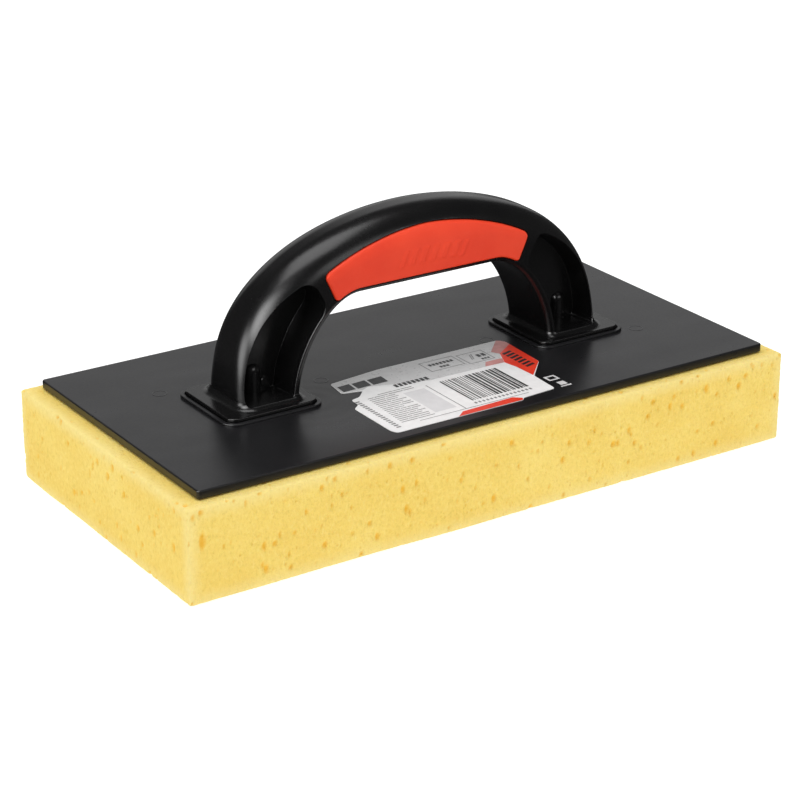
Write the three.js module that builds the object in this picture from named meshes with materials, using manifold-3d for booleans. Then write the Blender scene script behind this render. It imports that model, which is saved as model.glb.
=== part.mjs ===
// Sponge float: a cellular sponge block bonded under a moulded plate, carried by an arched handle
// with recessed legs and soft inlays. Millimetres, +X along the length, +Y to the rear, +Z up.
// The origin is at the middle of the sponge's working face.
import * as THREE from "three";
import { mergeVertices } from "three/addons/utils/BufferGeometryUtils.js";
import Module from "manifold-3d";

const wasm = await Module();
wasm.setup();

// ---------------------------------------------------------------- plate, bond and sponge
const PLATE_LENGTH = 270;
const PLATE_WIDTH = 130;
const PLATE_THICKNESS = 3.5;
const PLATE_CORNER = 1.6;
const PLATE_EDGE = 0.5; // bevel round the plate's top and bottom edges

const BOND_THICKNESS = 0.4;
const BOND_INSET = 2.0; // the bond stops short of the plate's edge

const SPONGE_END_OVERHANG = 7.0; // beyond the plate's ends
const SPONGE_SIDE_OVERHANG = 4.5; // beyond its long sides
const SPONGE_THICKNESS = 39.6;
const SPONGE_EDGE = 2.0; // radius of the sponge's worn edges

// ---------------------------------------------------------------- handle arch
const HANDLE_SPAN = 174.4; // over the backs of the two legs
const HANDLE_HEIGHT = 70; // from the plate to the top of the grip
const HANDLE_WIDTH = 31;
const SPAN_FULLNESS = 1.96; // exponents of the back's curve: 2 and 2 make an ellipse
const RISE_FULLNESS = 2.8; // and a higher one makes it squarer
const GRIP_DEPTH = 29.0; // from the finger side to the back, at the middle
const LEG_DEPTH = 26.4; // the same, at the foot
const GRIP_SETBACK = 28.8; // from the legs' finger faces to the straight part of the grip
const FINGER_CURVE_RISE = 20; // how far the finger side climbs before it turns in
const FINGER_CURVE_RUN = 14; // length of the turn at the grip's end
const BACK_LEAD = 0.08; // how far the back runs ahead of the finger side, of the travel
const GRIP_CREST = 4.2; // flat width left between the two rounded back edges along the grip
const FOOT_CREST = 18.6; // the same at the foot, where the leg is squarer
const CREST_BLEND = 0.4; // share of the travel over which one narrows into the other
const FINGER_RADIUS = 3.0; // rounding of the two finger-side edges

// ---------------------------------------------------------------- feet
const FOOT_OFFSET = 1.0; // screw axis, outwards from the middle of the leg
const FLANGE_END_MARGIN = 6.9; // flange beyond the leg, along the handle
const FLANGE_SIDE_MARGIN = 4.0; // flange beyond the leg, across it
const FLANGE_THICKNESS = 2.4;
const FLANGE_CORNER = 4.0;
const FLANGE_BEVEL = 0.4;
const FILLET = 3.2; // between the leg and its flange
const RIM_CLEARANCE = 0.6; // between a flange and the raised rim round it
const RIM_WALL = 1.6;
const RIM_HEIGHT = 1.1;
const RIM_BEVEL = 0.35;

// ---------------------------------------------------------------- leg recesses
const WEB_THICKNESS = 3.2;
const FINGER_WALL = 3.0; // inner flange of the leg, at its edge
const BACK_WALL_LOW = 2.0; // outer wall of the leg at the foot, at its edge
const BACK_WALL_HIGH = 7.4; // the same at the recess's upper end
const BACK_WALL_POWER = 1.5; // how late the wall grows from one to the other
const WALL_DRAFT = 2.0; // extra wall thickness where it meets the web
const SILL_HEIGHT = 1.2; // from the flange up to the recess
const RECESS_BRIDGE = 3.9; // between the recess and the inlay, along the finger side
const RECESS_CORNER = 5.5; // corners at the upper end
const SILL_CORNER = 1.2; // corners at the foot

// ---------------------------------------------------------------- screws and bosses
const SCREW_DIAMETER = 4.0;
const SCREW_LENGTH = 16;
const SCREW_HEAD_DIAMETER = 7.6;
const SCREW_HEAD_HEIGHT = 2.3;
const SCREW_HEAD_LAND = 0.2; // straight edge of the head, below its cone
const SCREW_HEAD_DEPTH = 0.2; // how far the head sits inside the plate's underside
const SCREW_CLEARANCE = 0.15; // round the shank, in the plate and in the boss
const SCREW_POINT = 3.0; // plain end below the last thread crest
const SCREW_TAPER = 2.3; // the pointed part of it
const THREAD_START = 1.2; // first crest, above the head
const THREAD_PITCH = 1.6;
const THREAD_DEPTH = 0.45;
const THREAD_FLANK = 0.64; // from crest to root, along the screw
const SLOT_LENGTH = 4.7; // cross slot
const SLOT_WIDTH = 1.0;
const SLOT_DEPTH = 1.4;
const SLOT_CORNER = 0.3;
const BOSS_WALL = 2.0; // round the screw
const BOSS_TIP_WALL = 1.6; // over the blind end of the pilot hole
const BOSS_DOME_DROP = 2.4; // from the flat tip that the boss would have down to where its dome starts
const DRILL_POINT = 0.86; // height of the cone at the end of the pilot hole
const PAD_RADIUS = 2.1; // ejector pad on each side of each web
const PAD_HEIGHT = 0.9;
const PAD_OFFSET = 5.6; // from the boss, towards the fingers
const PAD_RISE = 5.0; // above the flange

// ---------------------------------------------------------------- soft inlays
const INLAY_DEPTH = 4.5; // from the handle's side to the bottom of the inlay's pocket
const INLAY_PROUD = 0.7;
const INLAY_GAP = 0.35;
const INLAY_EDGE = 0.9; // rounding of the inlay's outer edge
const INLAY_BACK_MARGIN = 6.4; // from the back of the arch
const INLAY_FINGER_MARGIN = 2.3; // from the finger side
const INLAY_LENGTH = 87.2; // along the finger side
const INLAY_CORNER = 2.5;

// ---------------------------------------------------------------- label
const LABEL_THICKNESS = 0.2;
const LABEL_CORNER = 1.2;
const LABEL_END_GAP = 6.7; // to the rims of the feet
const LABEL_BACK_GAP = 1.2; // from the plate's middle line
const LABEL_FRONT_GAP = 5.0; // from the plate's front edge
// Die-cut outline: [from the middle, of the half-length; from the back edge, of the width].
const LABEL_OUTLINE = [
  [-0.88, 0.05], [-0.35, 0], [0.95, 0], [1, 0.05], [0.97, 0.49], [0.73, 0.69], [0.71, 0.95],
  [0.35, 0.97], [0.33, 1], [-0.97, 1], [-1, 0.95], [-1, 0.51], [-0.92, 0.46], [-0.92, 0.37],
  [-0.82, 0.35], [-0.72, 0.27], [-0.91, 0.235],
];

// ---------------------------------------------------------------- smoothness
const ARCH_STATIONS = 30; // from a foot to the middle of the handle
const BACK_STEPS = 8;
const BACK_SAMPLES = 400; // along the back's curve, to measure its length
const FINGER_STEPS = 3;
const FLARE_STEPS = 4;
const RECESS_STEPS = 12;
const CORNER_STEPS = 6;
const INLAY_STEPS = 12;
const HOLE_STEPS = 32;
const SCREW_STEPS = 26;
const OVERRUN = 2; // how far a cutter runs past the face it opens
const MOST_OF_EDGE = 0.48; // share of an edge that one rounding may take
const MERGE_DISTANCE = 1e-4;

// ---------------------------------------------------------------- derived levels
const SPONGE_LENGTH = PLATE_LENGTH + 2 * SPONGE_END_OVERHANG;
const SPONGE_WIDTH = PLATE_WIDTH + 2 * SPONGE_SIDE_OVERHANG;
const BOND_Z = SPONGE_THICKNESS;
const PLATE_Z = BOND_Z + BOND_THICKNESS;
const PLATE_TOP = PLATE_Z + PLATE_THICKNESS;
const FLANGE_TOP = PLATE_TOP + FLANGE_THICKNESS;
const FLANGE_LENGTH = LEG_DEPTH + 2 * FLANGE_END_MARGIN;
const FLANGE_WIDTH = HANDLE_WIDTH + 2 * FLANGE_SIDE_MARGIN;
const RIM_LENGTH = FLANGE_LENGTH + 2 * RIM_CLEARANCE; // inside the rim
const RIM_WIDTH = FLANGE_WIDTH + 2 * RIM_CLEARANCE;
const HALF_SPAN = HANDLE_SPAN / 2;
const HALF_WIDTH = HANDLE_WIDTH / 2;
const ARCH_TOP = PLATE_TOP + HANDLE_HEIGHT;
const FINGER_X = HALF_SPAN - LEG_DEPTH;
const FINGER_TOP = ARCH_TOP - GRIP_DEPTH;
const GRIP_END = FINGER_X - GRIP_SETBACK;
const FOOT_X = HALF_SPAN - LEG_DEPTH / 2 + FOOT_OFFSET;
const HEAD_Z = PLATE_Z + SCREW_HEAD_DEPTH;
const SCREW_TIP = HEAD_Z + SCREW_LENGTH;
const PILOT_RADIUS = SCREW_DIAMETER / 2 + SCREW_CLEARANCE;
const PILOT_TOP = SCREW_TIP + 2 * SCREW_CLEARANCE;
const BOSS_RADIUS = SCREW_DIAMETER / 2 + BOSS_WALL;
const INLAY_FLOOR = HALF_WIDTH - INLAY_DEPTH;

// ================================================================ solids
// Positions and faces only, with equal vertices merged.
function bareMesh(geometry) {
  const bare = geometry.index ? geometry.toNonIndexed() : geometry.clone();
  bare.deleteAttribute("normal");
  bare.deleteAttribute("uv");
  return mergeVertices(bare, MERGE_DISTANCE);
}

// The closed solid inside a geometry, whichever way its faces run.
function solidOf(geometry) {
  const mesh = bareMesh(geometry);
  const solid = manifoldOf(mesh);
  return solid.volume() < 0 ? manifoldOf(reversed(mesh)) : solid;
}

function manifoldOf(mesh) {
  return new wasm.Manifold(
    new wasm.Mesh({
      numProp: 3,
      vertProperties: mesh.attributes.position.array,
      triVerts: new Uint32Array(mesh.index.array),
    }),
  );
}

function geometryOf(solid) {
  const mesh = solid.getMesh();
  const positions = new Float32Array(mesh.numVert * 3);
  for (let i = 0; i < mesh.numVert; i += 1) {
    positions.set(mesh.vertProperties.subarray(i * mesh.numProp, i * mesh.numProp + 3), i * 3);
  }
  const geometry = new THREE.BufferGeometry();
  geometry.setAttribute("position", new THREE.BufferAttribute(positions, 3));
  geometry.setIndex(new THREE.BufferAttribute(new Uint32Array(mesh.triVerts), 1));
  geometry.computeVertexNormals();
  return geometry;
}

// Closed solid through a list of rings, each a closed loop of the same number of Vector3 points.
function loft(rings) {
  const count = rings[0].length;
  const positions = rings.flat().flatMap((p) => [p.x, p.y, p.z]);
  const index = [];
  for (let r = 0; r + 1 < rings.length; r += 1) {
    for (let i = 0; i < count; i += 1) {
      const a = r * count + i;
      const b = r * count + ((i + 1) % count);
      index.push(a, b, b + count, a, b + count, a + count);
    }
  }
  for (const [a, b, c] of THREE.ShapeUtils.triangulateShape(flatten(rings[0]), [])) {
    index.push(a, c, b);
  }
  const last = (rings.length - 1) * count;
  for (const [a, b, c] of THREE.ShapeUtils.triangulateShape(flatten(rings.at(-1)), [])) {
    index.push(last + a, last + b, last + c);
  }
  const geometry = new THREE.BufferGeometry();
  geometry.setAttribute("position", new THREE.Float32BufferAttribute(positions, 3));
  geometry.setIndex(index);
  return solidOf(geometry);
}

// The ring's points in its own plane, turned so that triangulation keeps the ring's direction.
function flatten(ring) {
  const normal = new THREE.Vector3();
  for (let i = 0; i < ring.length; i += 1) {
    normal.add(new THREE.Vector3().crossVectors(ring[i], ring[(i + 1) % ring.length]));
  }
  normal.normalize();
  const facesAlongY = Math.abs(normal.y) > 0.9;
  const across = facesAlongY ? new THREE.Vector3(1, 0, 0) : new THREE.Vector3(0, 1, 0);
  const u = new THREE.Vector3().crossVectors(across, normal).normalize();
  const v = new THREE.Vector3().crossVectors(normal, u);
  return ring.map((p) => new THREE.Vector2(p.dot(u), p.dot(v)));
}

function reversed(geometry) {
  const index = [...geometry.index.array];
  for (let i = 0; i < index.length; i += 3) {
    [index[i + 1], index[i + 2]] = [index[i + 2], index[i + 1]];
  }
  const turned = geometry.clone();
  turned.setIndex(index);
  return turned;
}

function moved(solid, x, y, z) {
  return solid.translate([x, y, z]);
}

function mirroredX(solid) {
  return solid.mirror([1, 0, 0]);
}

function mirroredY(solid) {
  return solid.mirror([0, 1, 0]);
}

// Block with rounded plan corners and a small bevel round its top and bottom, base at z = 0.
function roundedBlock(length, width, height, corner, bevel, bevelSteps) {
  const halfLength = length / 2 - bevel;
  const halfWidth = width / 2 - bevel;
  const radius = corner - bevel;
  const shape = new THREE.Shape();
  shape.moveTo(-halfLength + radius, -halfWidth);
  shape.lineTo(halfLength - radius, -halfWidth);
  shape.absarc(halfLength - radius, -halfWidth + radius, radius, -Math.PI / 2, 0, false);
  shape.lineTo(halfLength, halfWidth - radius);
  shape.absarc(halfLength - radius, halfWidth - radius, radius, 0, Math.PI / 2, false);
  shape.lineTo(-halfLength + radius, halfWidth);
  shape.absarc(-halfLength + radius, halfWidth - radius, radius, Math.PI / 2, Math.PI, false);
  shape.lineTo(-halfLength, -halfWidth + radius);
  shape.absarc(-halfLength + radius, -halfWidth + radius, radius, Math.PI, 1.5 * Math.PI, false);
  const geometry = new THREE.ExtrudeGeometry(shape, {
    depth: height - 2 * bevel,
    curveSegments: CORNER_STEPS,
    bevelEnabled: bevel > 0,
    bevelThickness: bevel,
    bevelSize: bevel,
    bevelSegments: bevelSteps,
  });
  geometry.translate(0, 0, bevel);
  return solidOf(geometry);
}

// Body of revolution about +Z from a profile of [radius, height] pairs that starts and ends on the axis.
function turned(profile, steps) {
  const points = profile.map(([r, z]) => new THREE.Vector2(r, z));
  const geometry = new THREE.LatheGeometry(points, steps);
  geometry.rotateX(Math.PI / 2);
  return solidOf(geometry);
}

// ================================================================ the arch
// Points on the finger side and on the back of the right half of the arch, by travel along it:
// 0 at the foot, 1 at the middle of the handle.
const gripEnd = new THREE.Vector2(GRIP_END, FINGER_TOP);
const fingerTurn = new THREE.CubicBezierCurve(
  new THREE.Vector2(FINGER_X, PLATE_TOP),
  new THREE.Vector2(FINGER_X, PLATE_TOP + FINGER_CURVE_RISE),
  new THREE.Vector2(GRIP_END + FINGER_CURVE_RUN, FINGER_TOP),
  gripEnd,
);
const fingerSide = new THREE.CurvePath();
fingerSide.add(fingerTurn);
fingerSide.add(new THREE.LineCurve(gripEnd, new THREE.Vector2(0, FINGER_TOP)));
const FINGER_LENGTH = fingerSide.getLength();
const INLAY_END = 1 - INLAY_LENGTH / 2 / FINGER_LENGTH; // travels at which the inlay
const RECESS_END = INLAY_END - RECESS_BRIDGE / FINGER_LENGTH; // and the recess stop
function backPoint(angle) {
  return new THREE.Vector2(
    HALF_SPAN * Math.cos(angle) ** (2 / SPAN_FULLNESS),
    PLATE_TOP + HANDLE_HEIGHT * Math.sin(angle) ** (2 / RISE_FULLNESS),
  );
}

// The back curve, measured along its length.
const backTrack = [];
for (let i = 0; i <= BACK_SAMPLES; i += 1) {
  backTrack.push(backPoint((Math.PI / 2) * (i / BACK_SAMPLES)));
}
backTrack[BACK_SAMPLES].x = 0;
const backLengths = [0];
for (let i = 1; i < backTrack.length; i += 1) {
  backLengths.push(backLengths[i - 1] + backTrack[i].distanceTo(backTrack[i - 1]));
}
const BACK_LENGTH = backLengths.at(-1);

// The back's end of the section that starts at this travel on the finger side.
function backAt(travel) {
  const target = (travel + BACK_LEAD * Math.sin(Math.PI * travel)) * BACK_LENGTH;
  let i = 1;
  while (i < backLengths.length - 1 && backLengths[i] < target) {
    i += 1;
  }
  const share = (target - backLengths[i - 1]) / (backLengths[i] - backLengths[i - 1]);
  return backTrack[i - 1].clone().lerp(backTrack[i], share);
}

function fingerAt(travel) {
  return fingerSide.getPointAt(travel);
}

// The finger-side point of a section, its depth to the back and the direction between them.
function sectionAt(travel) {
  const inner = fingerAt(travel);
  const along = backAt(travel).sub(inner);
  const depth = along.length();
  return { inner, depth, along: along.normalize() };
}

// A point of the section's middle line this far from the finger side.
function fromFinger(travel, distance) {
  const { inner, along } = sectionAt(travel);
  return inner.addScaledVector(along, distance);
}

// The same, measured from the back.
function fromBack(travel, distance) {
  return backAt(travel).addScaledVector(sectionAt(travel).along, -distance);
}

// Rounding of the back edges at a travel: it takes what the flat crest leaves of the width.
function backRadiusAt(travel) {
  const narrowed = Math.sin((Math.PI / 2) * Math.min(travel / CREST_BLEND, 1));
  return HALF_WIDTH - THREE.MathUtils.lerp(FOOT_CREST, GRIP_CREST, narrowed) / 2;
}

// One cross-section of the arch as [depth, across] pairs. Depth runs from the finger side (0) to the
// back. spread grows the section outwards on every side.
function sectionOutline(travel, depth, spread) {
  const half = HALF_WIDTH + spread;
  const backRadius = backRadiusAt(travel) + spread;
  const fingerRadius = FINGER_RADIUS + spread;
  const low = -spread;
  const high = depth + spread;
  const outline = [];
  for (let i = 0; i <= BACK_STEPS; i += 1) {
    const turn = (Math.PI / 2) * (i / BACK_STEPS);
    outline.push([
      high - backRadius * (1 - Math.sin(turn)),
      half - backRadius * (1 - Math.cos(turn)),
    ]);
  }
  const back = [...outline, ...outline.map(([d, a]) => [d, -a]).reverse()];
  const finger = [];
  for (let i = 0; i <= FINGER_STEPS; i += 1) {
    const turn = (Math.PI / 2) * (i / FINGER_STEPS);
    finger.push([
      low + fingerRadius * (1 - Math.sin(turn)),
      -half + fingerRadius * (1 - Math.cos(turn)),
    ]);
  }
  return [...back, ...finger, ...finger.map(([d, a]) => [d, -a]).reverse()];
}

function archRing(travel) {
  const { inner, depth, along } = sectionAt(travel);
  return sectionOutline(travel, depth, 0).map(
    ([d, across]) => new THREE.Vector3(inner.x + along.x * d, across, inner.y + along.y * d),
  );
}

function archSolid() {
  const rings = [];
  for (let i = 0; i <= ARCH_STATIONS; i += 1) {
    rings.push(archRing(i / ARCH_STATIONS));
  }
  return loft(withMirrorHalf(rings));
}

// Rings from one end to the middle, followed by their mirror images on to the other end.
function withMirrorHalf(rings) {
  const otherHalf = rings.slice(0, -1).reverse();
  return [...rings, ...otherHalf.map((ring) => ring.map((p) => new THREE.Vector3(-p.x, p.y, p.z)))];
}

// Fillet that flares from the leg's section out onto its flange.
function footFlare() {
  const rings = [];
  for (let i = 0; i <= FLARE_STEPS; i += 1) {
    const turn = (Math.PI / 2) * (i / FLARE_STEPS);
    const outline = sectionOutline(0, LEG_DEPTH, FILLET * (1 - Math.sin(turn)));
    const z = FLANGE_TOP + FILLET * (1 - Math.cos(turn));
    rings.push(outline.map(([d, across]) => new THREE.Vector3(FINGER_X + d, across, z)));
  }
  const sunk = rings[0].map((p) => new THREE.Vector3(p.x, p.y, FLANGE_TOP - FLANGE_THICKNESS / 2));
  return loft([sunk, ...rings]);
}

// ---------------------------------------------------------------- leg recess
// Travel at which the recess starts, just above the flange.
const RECESS_FOOT = (FLANGE_THICKNESS + SILL_HEIGHT) / FINGER_LENGTH;

// Outline of the recess in the XZ plane. inward shrinks it all round.
function recessOutline(inward) {
  const fingerPoint = (travel) => fromFinger(travel, FINGER_WALL + inward);
  const outerPoint = (travel) => {
    const share = (travel - RECESS_FOOT) / (RECESS_END - RECESS_FOOT);
    const wall = THREE.MathUtils.lerp(BACK_WALL_LOW, BACK_WALL_HIGH, share ** BACK_WALL_POWER);
    return fromBack(travel, wall + inward);
  };
  const run = (pointAt, length) => {
    const start = RECESS_FOOT + SILL_CORNER / length;
    const end = RECESS_END - RECESS_CORNER / length;
    const points = [];
    for (let i = 0; i <= RECESS_STEPS; i += 1) {
      points.push(pointAt(THREE.MathUtils.lerp(start, end, i / RECESS_STEPS)));
    }
    return points;
  };
  const finger = run(fingerPoint, FINGER_LENGTH);
  const outer = run(outerPoint, BACK_LENGTH).reverse();
  const footFinger = fingerPoint(RECESS_FOOT);
  const footOuter = new THREE.Vector2(outer.at(-1).x, footFinger.y);
  const topFinger = fingerPoint(RECESS_END);
  const topOuter = outerPoint(RECESS_END);
  return [
    ...finger,
    ...cornerCurve(finger.at(-1), topFinger, topOuter, RECESS_CORNER),
    ...cornerCurve(outer[0], topOuter, topFinger, RECESS_CORNER).reverse(),
    ...outer,
    ...cornerCurve(outer.at(-1), footOuter, footFinger, SILL_CORNER),
    ...cornerCurve(finger[0], footFinger, footOuter, SILL_CORNER).reverse(),
  ];
}

// Share of an edge, from its end, that a rounding of this reach takes. Two roundings never meet.
function edgeShare(reach, from, to) {
  return Math.min(reach / from.distanceTo(to), MOST_OF_EDGE);
}

// Points that round a corner, after start and up to a point this far from the corner towards next.
function cornerCurve(start, corner, next, reach) {
  const end = corner.clone().lerp(next, edgeShare(reach, corner, next));
  return new THREE.QuadraticBezierCurve(start, corner, end).getPoints(CORNER_STEPS).slice(1);
}

// Closed outline with every corner rounded.
function easedOutline(points, radius, steps) {
  return points.flatMap((p, i) => {
    const before = points.at(i - 1);
    const after = points[(i + 1) % points.length];
    const start = p.clone().lerp(before, edgeShare(radius, p, before));
    const end = p.clone().lerp(after, edgeShare(radius, p, after));
    return new THREE.QuadraticBezierCurve(start, p, end).getPoints(steps);
  });
}

function recessCutter() {
  const levels = [
    [WEB_THICKNESS / 2, WALL_DRAFT],
    [HALF_WIDTH + OVERRUN, 0],
  ];
  const rings = levels.map(([across, inward]) => {
    return recessOutline(inward).map((p) => new THREE.Vector3(p.x, -across, p.y));
  });
  return loft(rings);
}

// ---------------------------------------------------------------- inlays
// Half-width of the section at a distance from the back, with the section grown by spread.
function halfWidthAt(travel, backDistance, spread) {
  const radius = backRadiusAt(travel);
  const fromCentre = radius - backDistance;
  if (fromCentre <= 0) {
    return HALF_WIDTH + spread;
  }
  return HALF_WIDTH - radius + Math.sqrt((radius + spread) ** 2 - fromCentre ** 2);
}

// How far a rounding of this radius lies below its crest at a distance in from the edge.
function roundingDrop(radius, distance) {
  return distance >= radius ? 0 : radius - Math.sqrt(radius ** 2 - (radius - distance) ** 2);
}

// One section of the front inlay in the arch's own section plane. grow widens it into its pocket.
function inlayRing(travel, fromEnd, grow) {
  const { inner, depth, along } = sectionAt(travel);
  const cornerDrop = roundingDrop(INLAY_CORNER + grow, fromEnd);
  const low = INLAY_FINGER_MARGIN - grow + cornerDrop;
  const high = depth - INLAY_BACK_MARGIN + grow - cornerDrop;
  const steps = [0, 0.25, 0.6, 1].map((k) => k * INLAY_EDGE);
  const middle = [0.2, 0.4, 0.6, 0.8].map((k) => INLAY_EDGE + k * (high - low - 2 * INLAY_EDGE));
  const stations = [...steps, ...middle, ...steps.map((k) => high - low - k).reverse()];
  const outline = stations.map((k) => {
    if (grow > 0) {
      return [low + k, HALF_WIDTH + OVERRUN];
    }
    const lift = INLAY_PROUD - roundingDrop(INLAY_EDGE, Math.min(k, high - low - k, fromEnd));
    return [low + k, halfWidthAt(travel, depth - low - k, lift)];
  });
  const loop = [[low, INLAY_FLOOR], ...outline, [high, INLAY_FLOOR]];
  return loop.map(
    ([d, across]) => new THREE.Vector3(inner.x + along.x * d, -across, inner.y + along.y * d),
  );
}

// The front inlay, or with grow over zero the pocket it lies in.
function inlayBody(grow) {
  const endTravel = INLAY_END - grow / FINGER_LENGTH;
  const reach = INLAY_LENGTH / 2 + grow; // from the end to the middle of the handle
  const corner = INLAY_CORNER + grow;
  const stations = [0, 0.08, 0.2, 0.4, 0.66, 1].map((k) => k * corner);
  for (let i = 1; i <= INLAY_STEPS; i += 1) {
    stations.push(THREE.MathUtils.lerp(corner, reach, i / INLAY_STEPS));
  }
  const rings = stations.map((s) => inlayRing(endTravel + s / FINGER_LENGTH, s, grow));
  return loft(withMirrorHalf(rings));
}

// ================================================================ parts
function spongePad() {
  return roundedBlock(SPONGE_LENGTH, SPONGE_WIDTH, SPONGE_THICKNESS, 2 * SPONGE_EDGE, SPONGE_EDGE, 3);
}

function adhesiveLayer() {
  const length = PLATE_LENGTH - 2 * BOND_INSET;
  const width = PLATE_WIDTH - 2 * BOND_INSET;
  return moved(roundedBlock(length, width, BOND_THICKNESS, PLATE_CORNER, 0, 1), 0, 0, BOND_Z);
}

function backingPlate() {
  const slab = roundedBlock(PLATE_LENGTH, PLATE_WIDTH, PLATE_THICKNESS, PLATE_CORNER, PLATE_EDGE, 2);
  const sunk = PLATE_THICKNESS / 3; // the rim is joined this far into the slab
  const outer = roundedBlock(
    RIM_LENGTH + 2 * RIM_WALL,
    RIM_WIDTH + 2 * RIM_WALL,
    RIM_HEIGHT + sunk,
    FLANGE_CORNER + RIM_CLEARANCE + RIM_WALL,
    RIM_BEVEL,
    2,
  );
  const inner = roundedBlock(
    RIM_LENGTH,
    RIM_WIDTH,
    RIM_HEIGHT + OVERRUN,
    FLANGE_CORNER + RIM_CLEARANCE,
    0,
    1,
  );
  let plate = moved(slab, 0, 0, PLATE_Z);
  for (const side of [-1, 1]) {
    plate = plate.add(moved(outer, side * FOOT_X, 0, PLATE_TOP - sunk));
    plate = plate.subtract(moved(inner, side * FOOT_X, 0, PLATE_TOP));
    plate = plate.subtract(moved(screwHole(), side * FOOT_X, 0, 0));
  }
  return plate;
}

// Clearance hole with a countersink, open at both faces of the plate.
function screwHole() {
  const head = SCREW_HEAD_DIAMETER / 2 + SCREW_CLEARANCE;
  return turned(
    [
      [0, PLATE_Z - OVERRUN],
      [head, PLATE_Z - OVERRUN],
      [head, HEAD_Z + SCREW_CLEARANCE],
      [PILOT_RADIUS, HEAD_Z + SCREW_HEAD_HEIGHT + SCREW_CLEARANCE],
      [PILOT_RADIUS, PLATE_TOP + OVERRUN],
      [0, PLATE_TOP + OVERRUN],
    ],
    HOLE_STEPS,
  );
}

// Round boss with a domed end, up from inside the flange.
function screwBoss() {
  const base = PLATE_TOP + FLANGE_THICKNESS / 2;
  const domeBase = PILOT_TOP + BOSS_TIP_WALL - BOSS_DOME_DROP;
  const profile = [
    [0, base],
    [BOSS_RADIUS, base],
  ];
  for (let i = 0; i < CORNER_STEPS; i += 1) {
    const turn = (Math.PI / 2) * (i / CORNER_STEPS);
    profile.push([BOSS_RADIUS * Math.cos(turn), domeBase + BOSS_RADIUS * Math.sin(turn)]);
  }
  profile.push([0, domeBase + BOSS_RADIUS]);
  return turned(profile, HOLE_STEPS);
}

// Round pad where an ejector pin meets the web: one cylinder through the web makes both sides.
function ejectorPad() {
  const reach = WEB_THICKNESS / 2 + PAD_HEIGHT;
  const profile = [
    [0, -reach],
    [PAD_RADIUS, -reach],
    [PAD_RADIUS, reach],
    [0, reach],
  ];
  const pad = turned(profile, SCREW_STEPS).rotate([90, 0, 0]);
  return moved(pad, FOOT_X - PAD_OFFSET, 0, FLANGE_TOP + PAD_RISE);
}

// Blind hole with a drill point, open at the underside of the flange.
function pilotHole() {
  const profile = [
    [0, PLATE_TOP - OVERRUN],
    [PILOT_RADIUS, PLATE_TOP - OVERRUN],
    [PILOT_RADIUS, PILOT_TOP],
    [0, PILOT_TOP + DRILL_POINT],
  ];
  return turned(profile, HOLE_STEPS);
}

function handleBody() {
  const flare = footFlare();
  const recess = recessCutter();
  const pad = ejectorPad();
  const pocket = inlayBody(INLAY_GAP);
  const flange = roundedBlock(FLANGE_LENGTH, FLANGE_WIDTH, FLANGE_THICKNESS, FLANGE_CORNER, FLANGE_BEVEL, 2);
  let body = archSolid().add(flare).add(mirroredX(flare));
  for (const cutter of [recess, mirroredX(recess)]) {
    body = body.subtract(cutter).subtract(mirroredY(cutter));
  }
  body = body.add(pad).add(mirroredX(pad));
  body = body.subtract(pocket).subtract(mirroredY(pocket));
  for (const side of [-1, 1]) {
    body = body.add(moved(flange, side * FOOT_X, 0, PLATE_TOP));
    body = body.add(moved(screwBoss(), side * FOOT_X, 0, 0));
    body = body.subtract(moved(pilotHole(), side * FOOT_X, 0, 0));
  }
  return body;
}

// Countersunk screw with ring-like thread crests, head down, base of the head at z = HEAD_Z.
function footScrew() {
  const head = SCREW_HEAD_DIAMETER / 2;
  const crest = SCREW_DIAMETER / 2;
  const root = crest - THREAD_DEPTH;
  const neck = HEAD_Z + SCREW_HEAD_HEIGHT;
  const profile = [
    [0, HEAD_Z],
    [head, HEAD_Z],
    [head, HEAD_Z + SCREW_HEAD_LAND],
    [root, neck],
  ];
  for (let z = neck + THREAD_START; z < SCREW_TIP - SCREW_POINT; z += THREAD_PITCH) {
    profile.push([root, z - THREAD_FLANK], [crest, z], [root, z + THREAD_FLANK]);
  }
  profile.push([root, SCREW_TIP - SCREW_TAPER], [0, SCREW_TIP]);
  const slot = roundedBlock(SLOT_LENGTH, SLOT_WIDTH, SLOT_DEPTH + OVERRUN, SLOT_CORNER, 0, 1);
  const cross = slot.add(slot.rotate([0, 0, 90]));
  return turned(profile, SCREW_STEPS).subtract(moved(cross, 0, 0, HEAD_Z - OVERRUN));
}

function productLabel() {
  const halfLength = FOOT_X - RIM_LENGTH / 2 - RIM_WALL - LABEL_END_GAP;
  const width = PLATE_WIDTH / 2 - LABEL_BACK_GAP - LABEL_FRONT_GAP;
  const outline = LABEL_OUTLINE.map(([along, across]) => {
    return new THREE.Vector2(along * halfLength, -LABEL_BACK_GAP - across * width);
  });
  const shape = new THREE.Shape(easedOutline(outline, LABEL_CORNER, 3));
  const geometry = new THREE.ExtrudeGeometry(shape, { depth: LABEL_THICKNESS, bevelEnabled: false });
  geometry.translate(0, 0, PLATE_TOP);
  return solidOf(geometry);
}

// ================================================================ assembly
const group = new THREE.Group();
group.name = "sponge_float";

function addPart(name, solid, color, roughness, metalness) {
  const material = new THREE.MeshStandardMaterial({ color, roughness, metalness });
  const mesh = new THREE.Mesh(geometryOf(solid), material);
  mesh.name = name;
  group.add(mesh);
}

const BLACK_PLASTIC = 0x17171a;
const SOFT_RED = 0xe8482c;
const STEEL = 0xb4b6ba;
const inlay = inlayBody(0);
const screw = footScrew();

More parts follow.
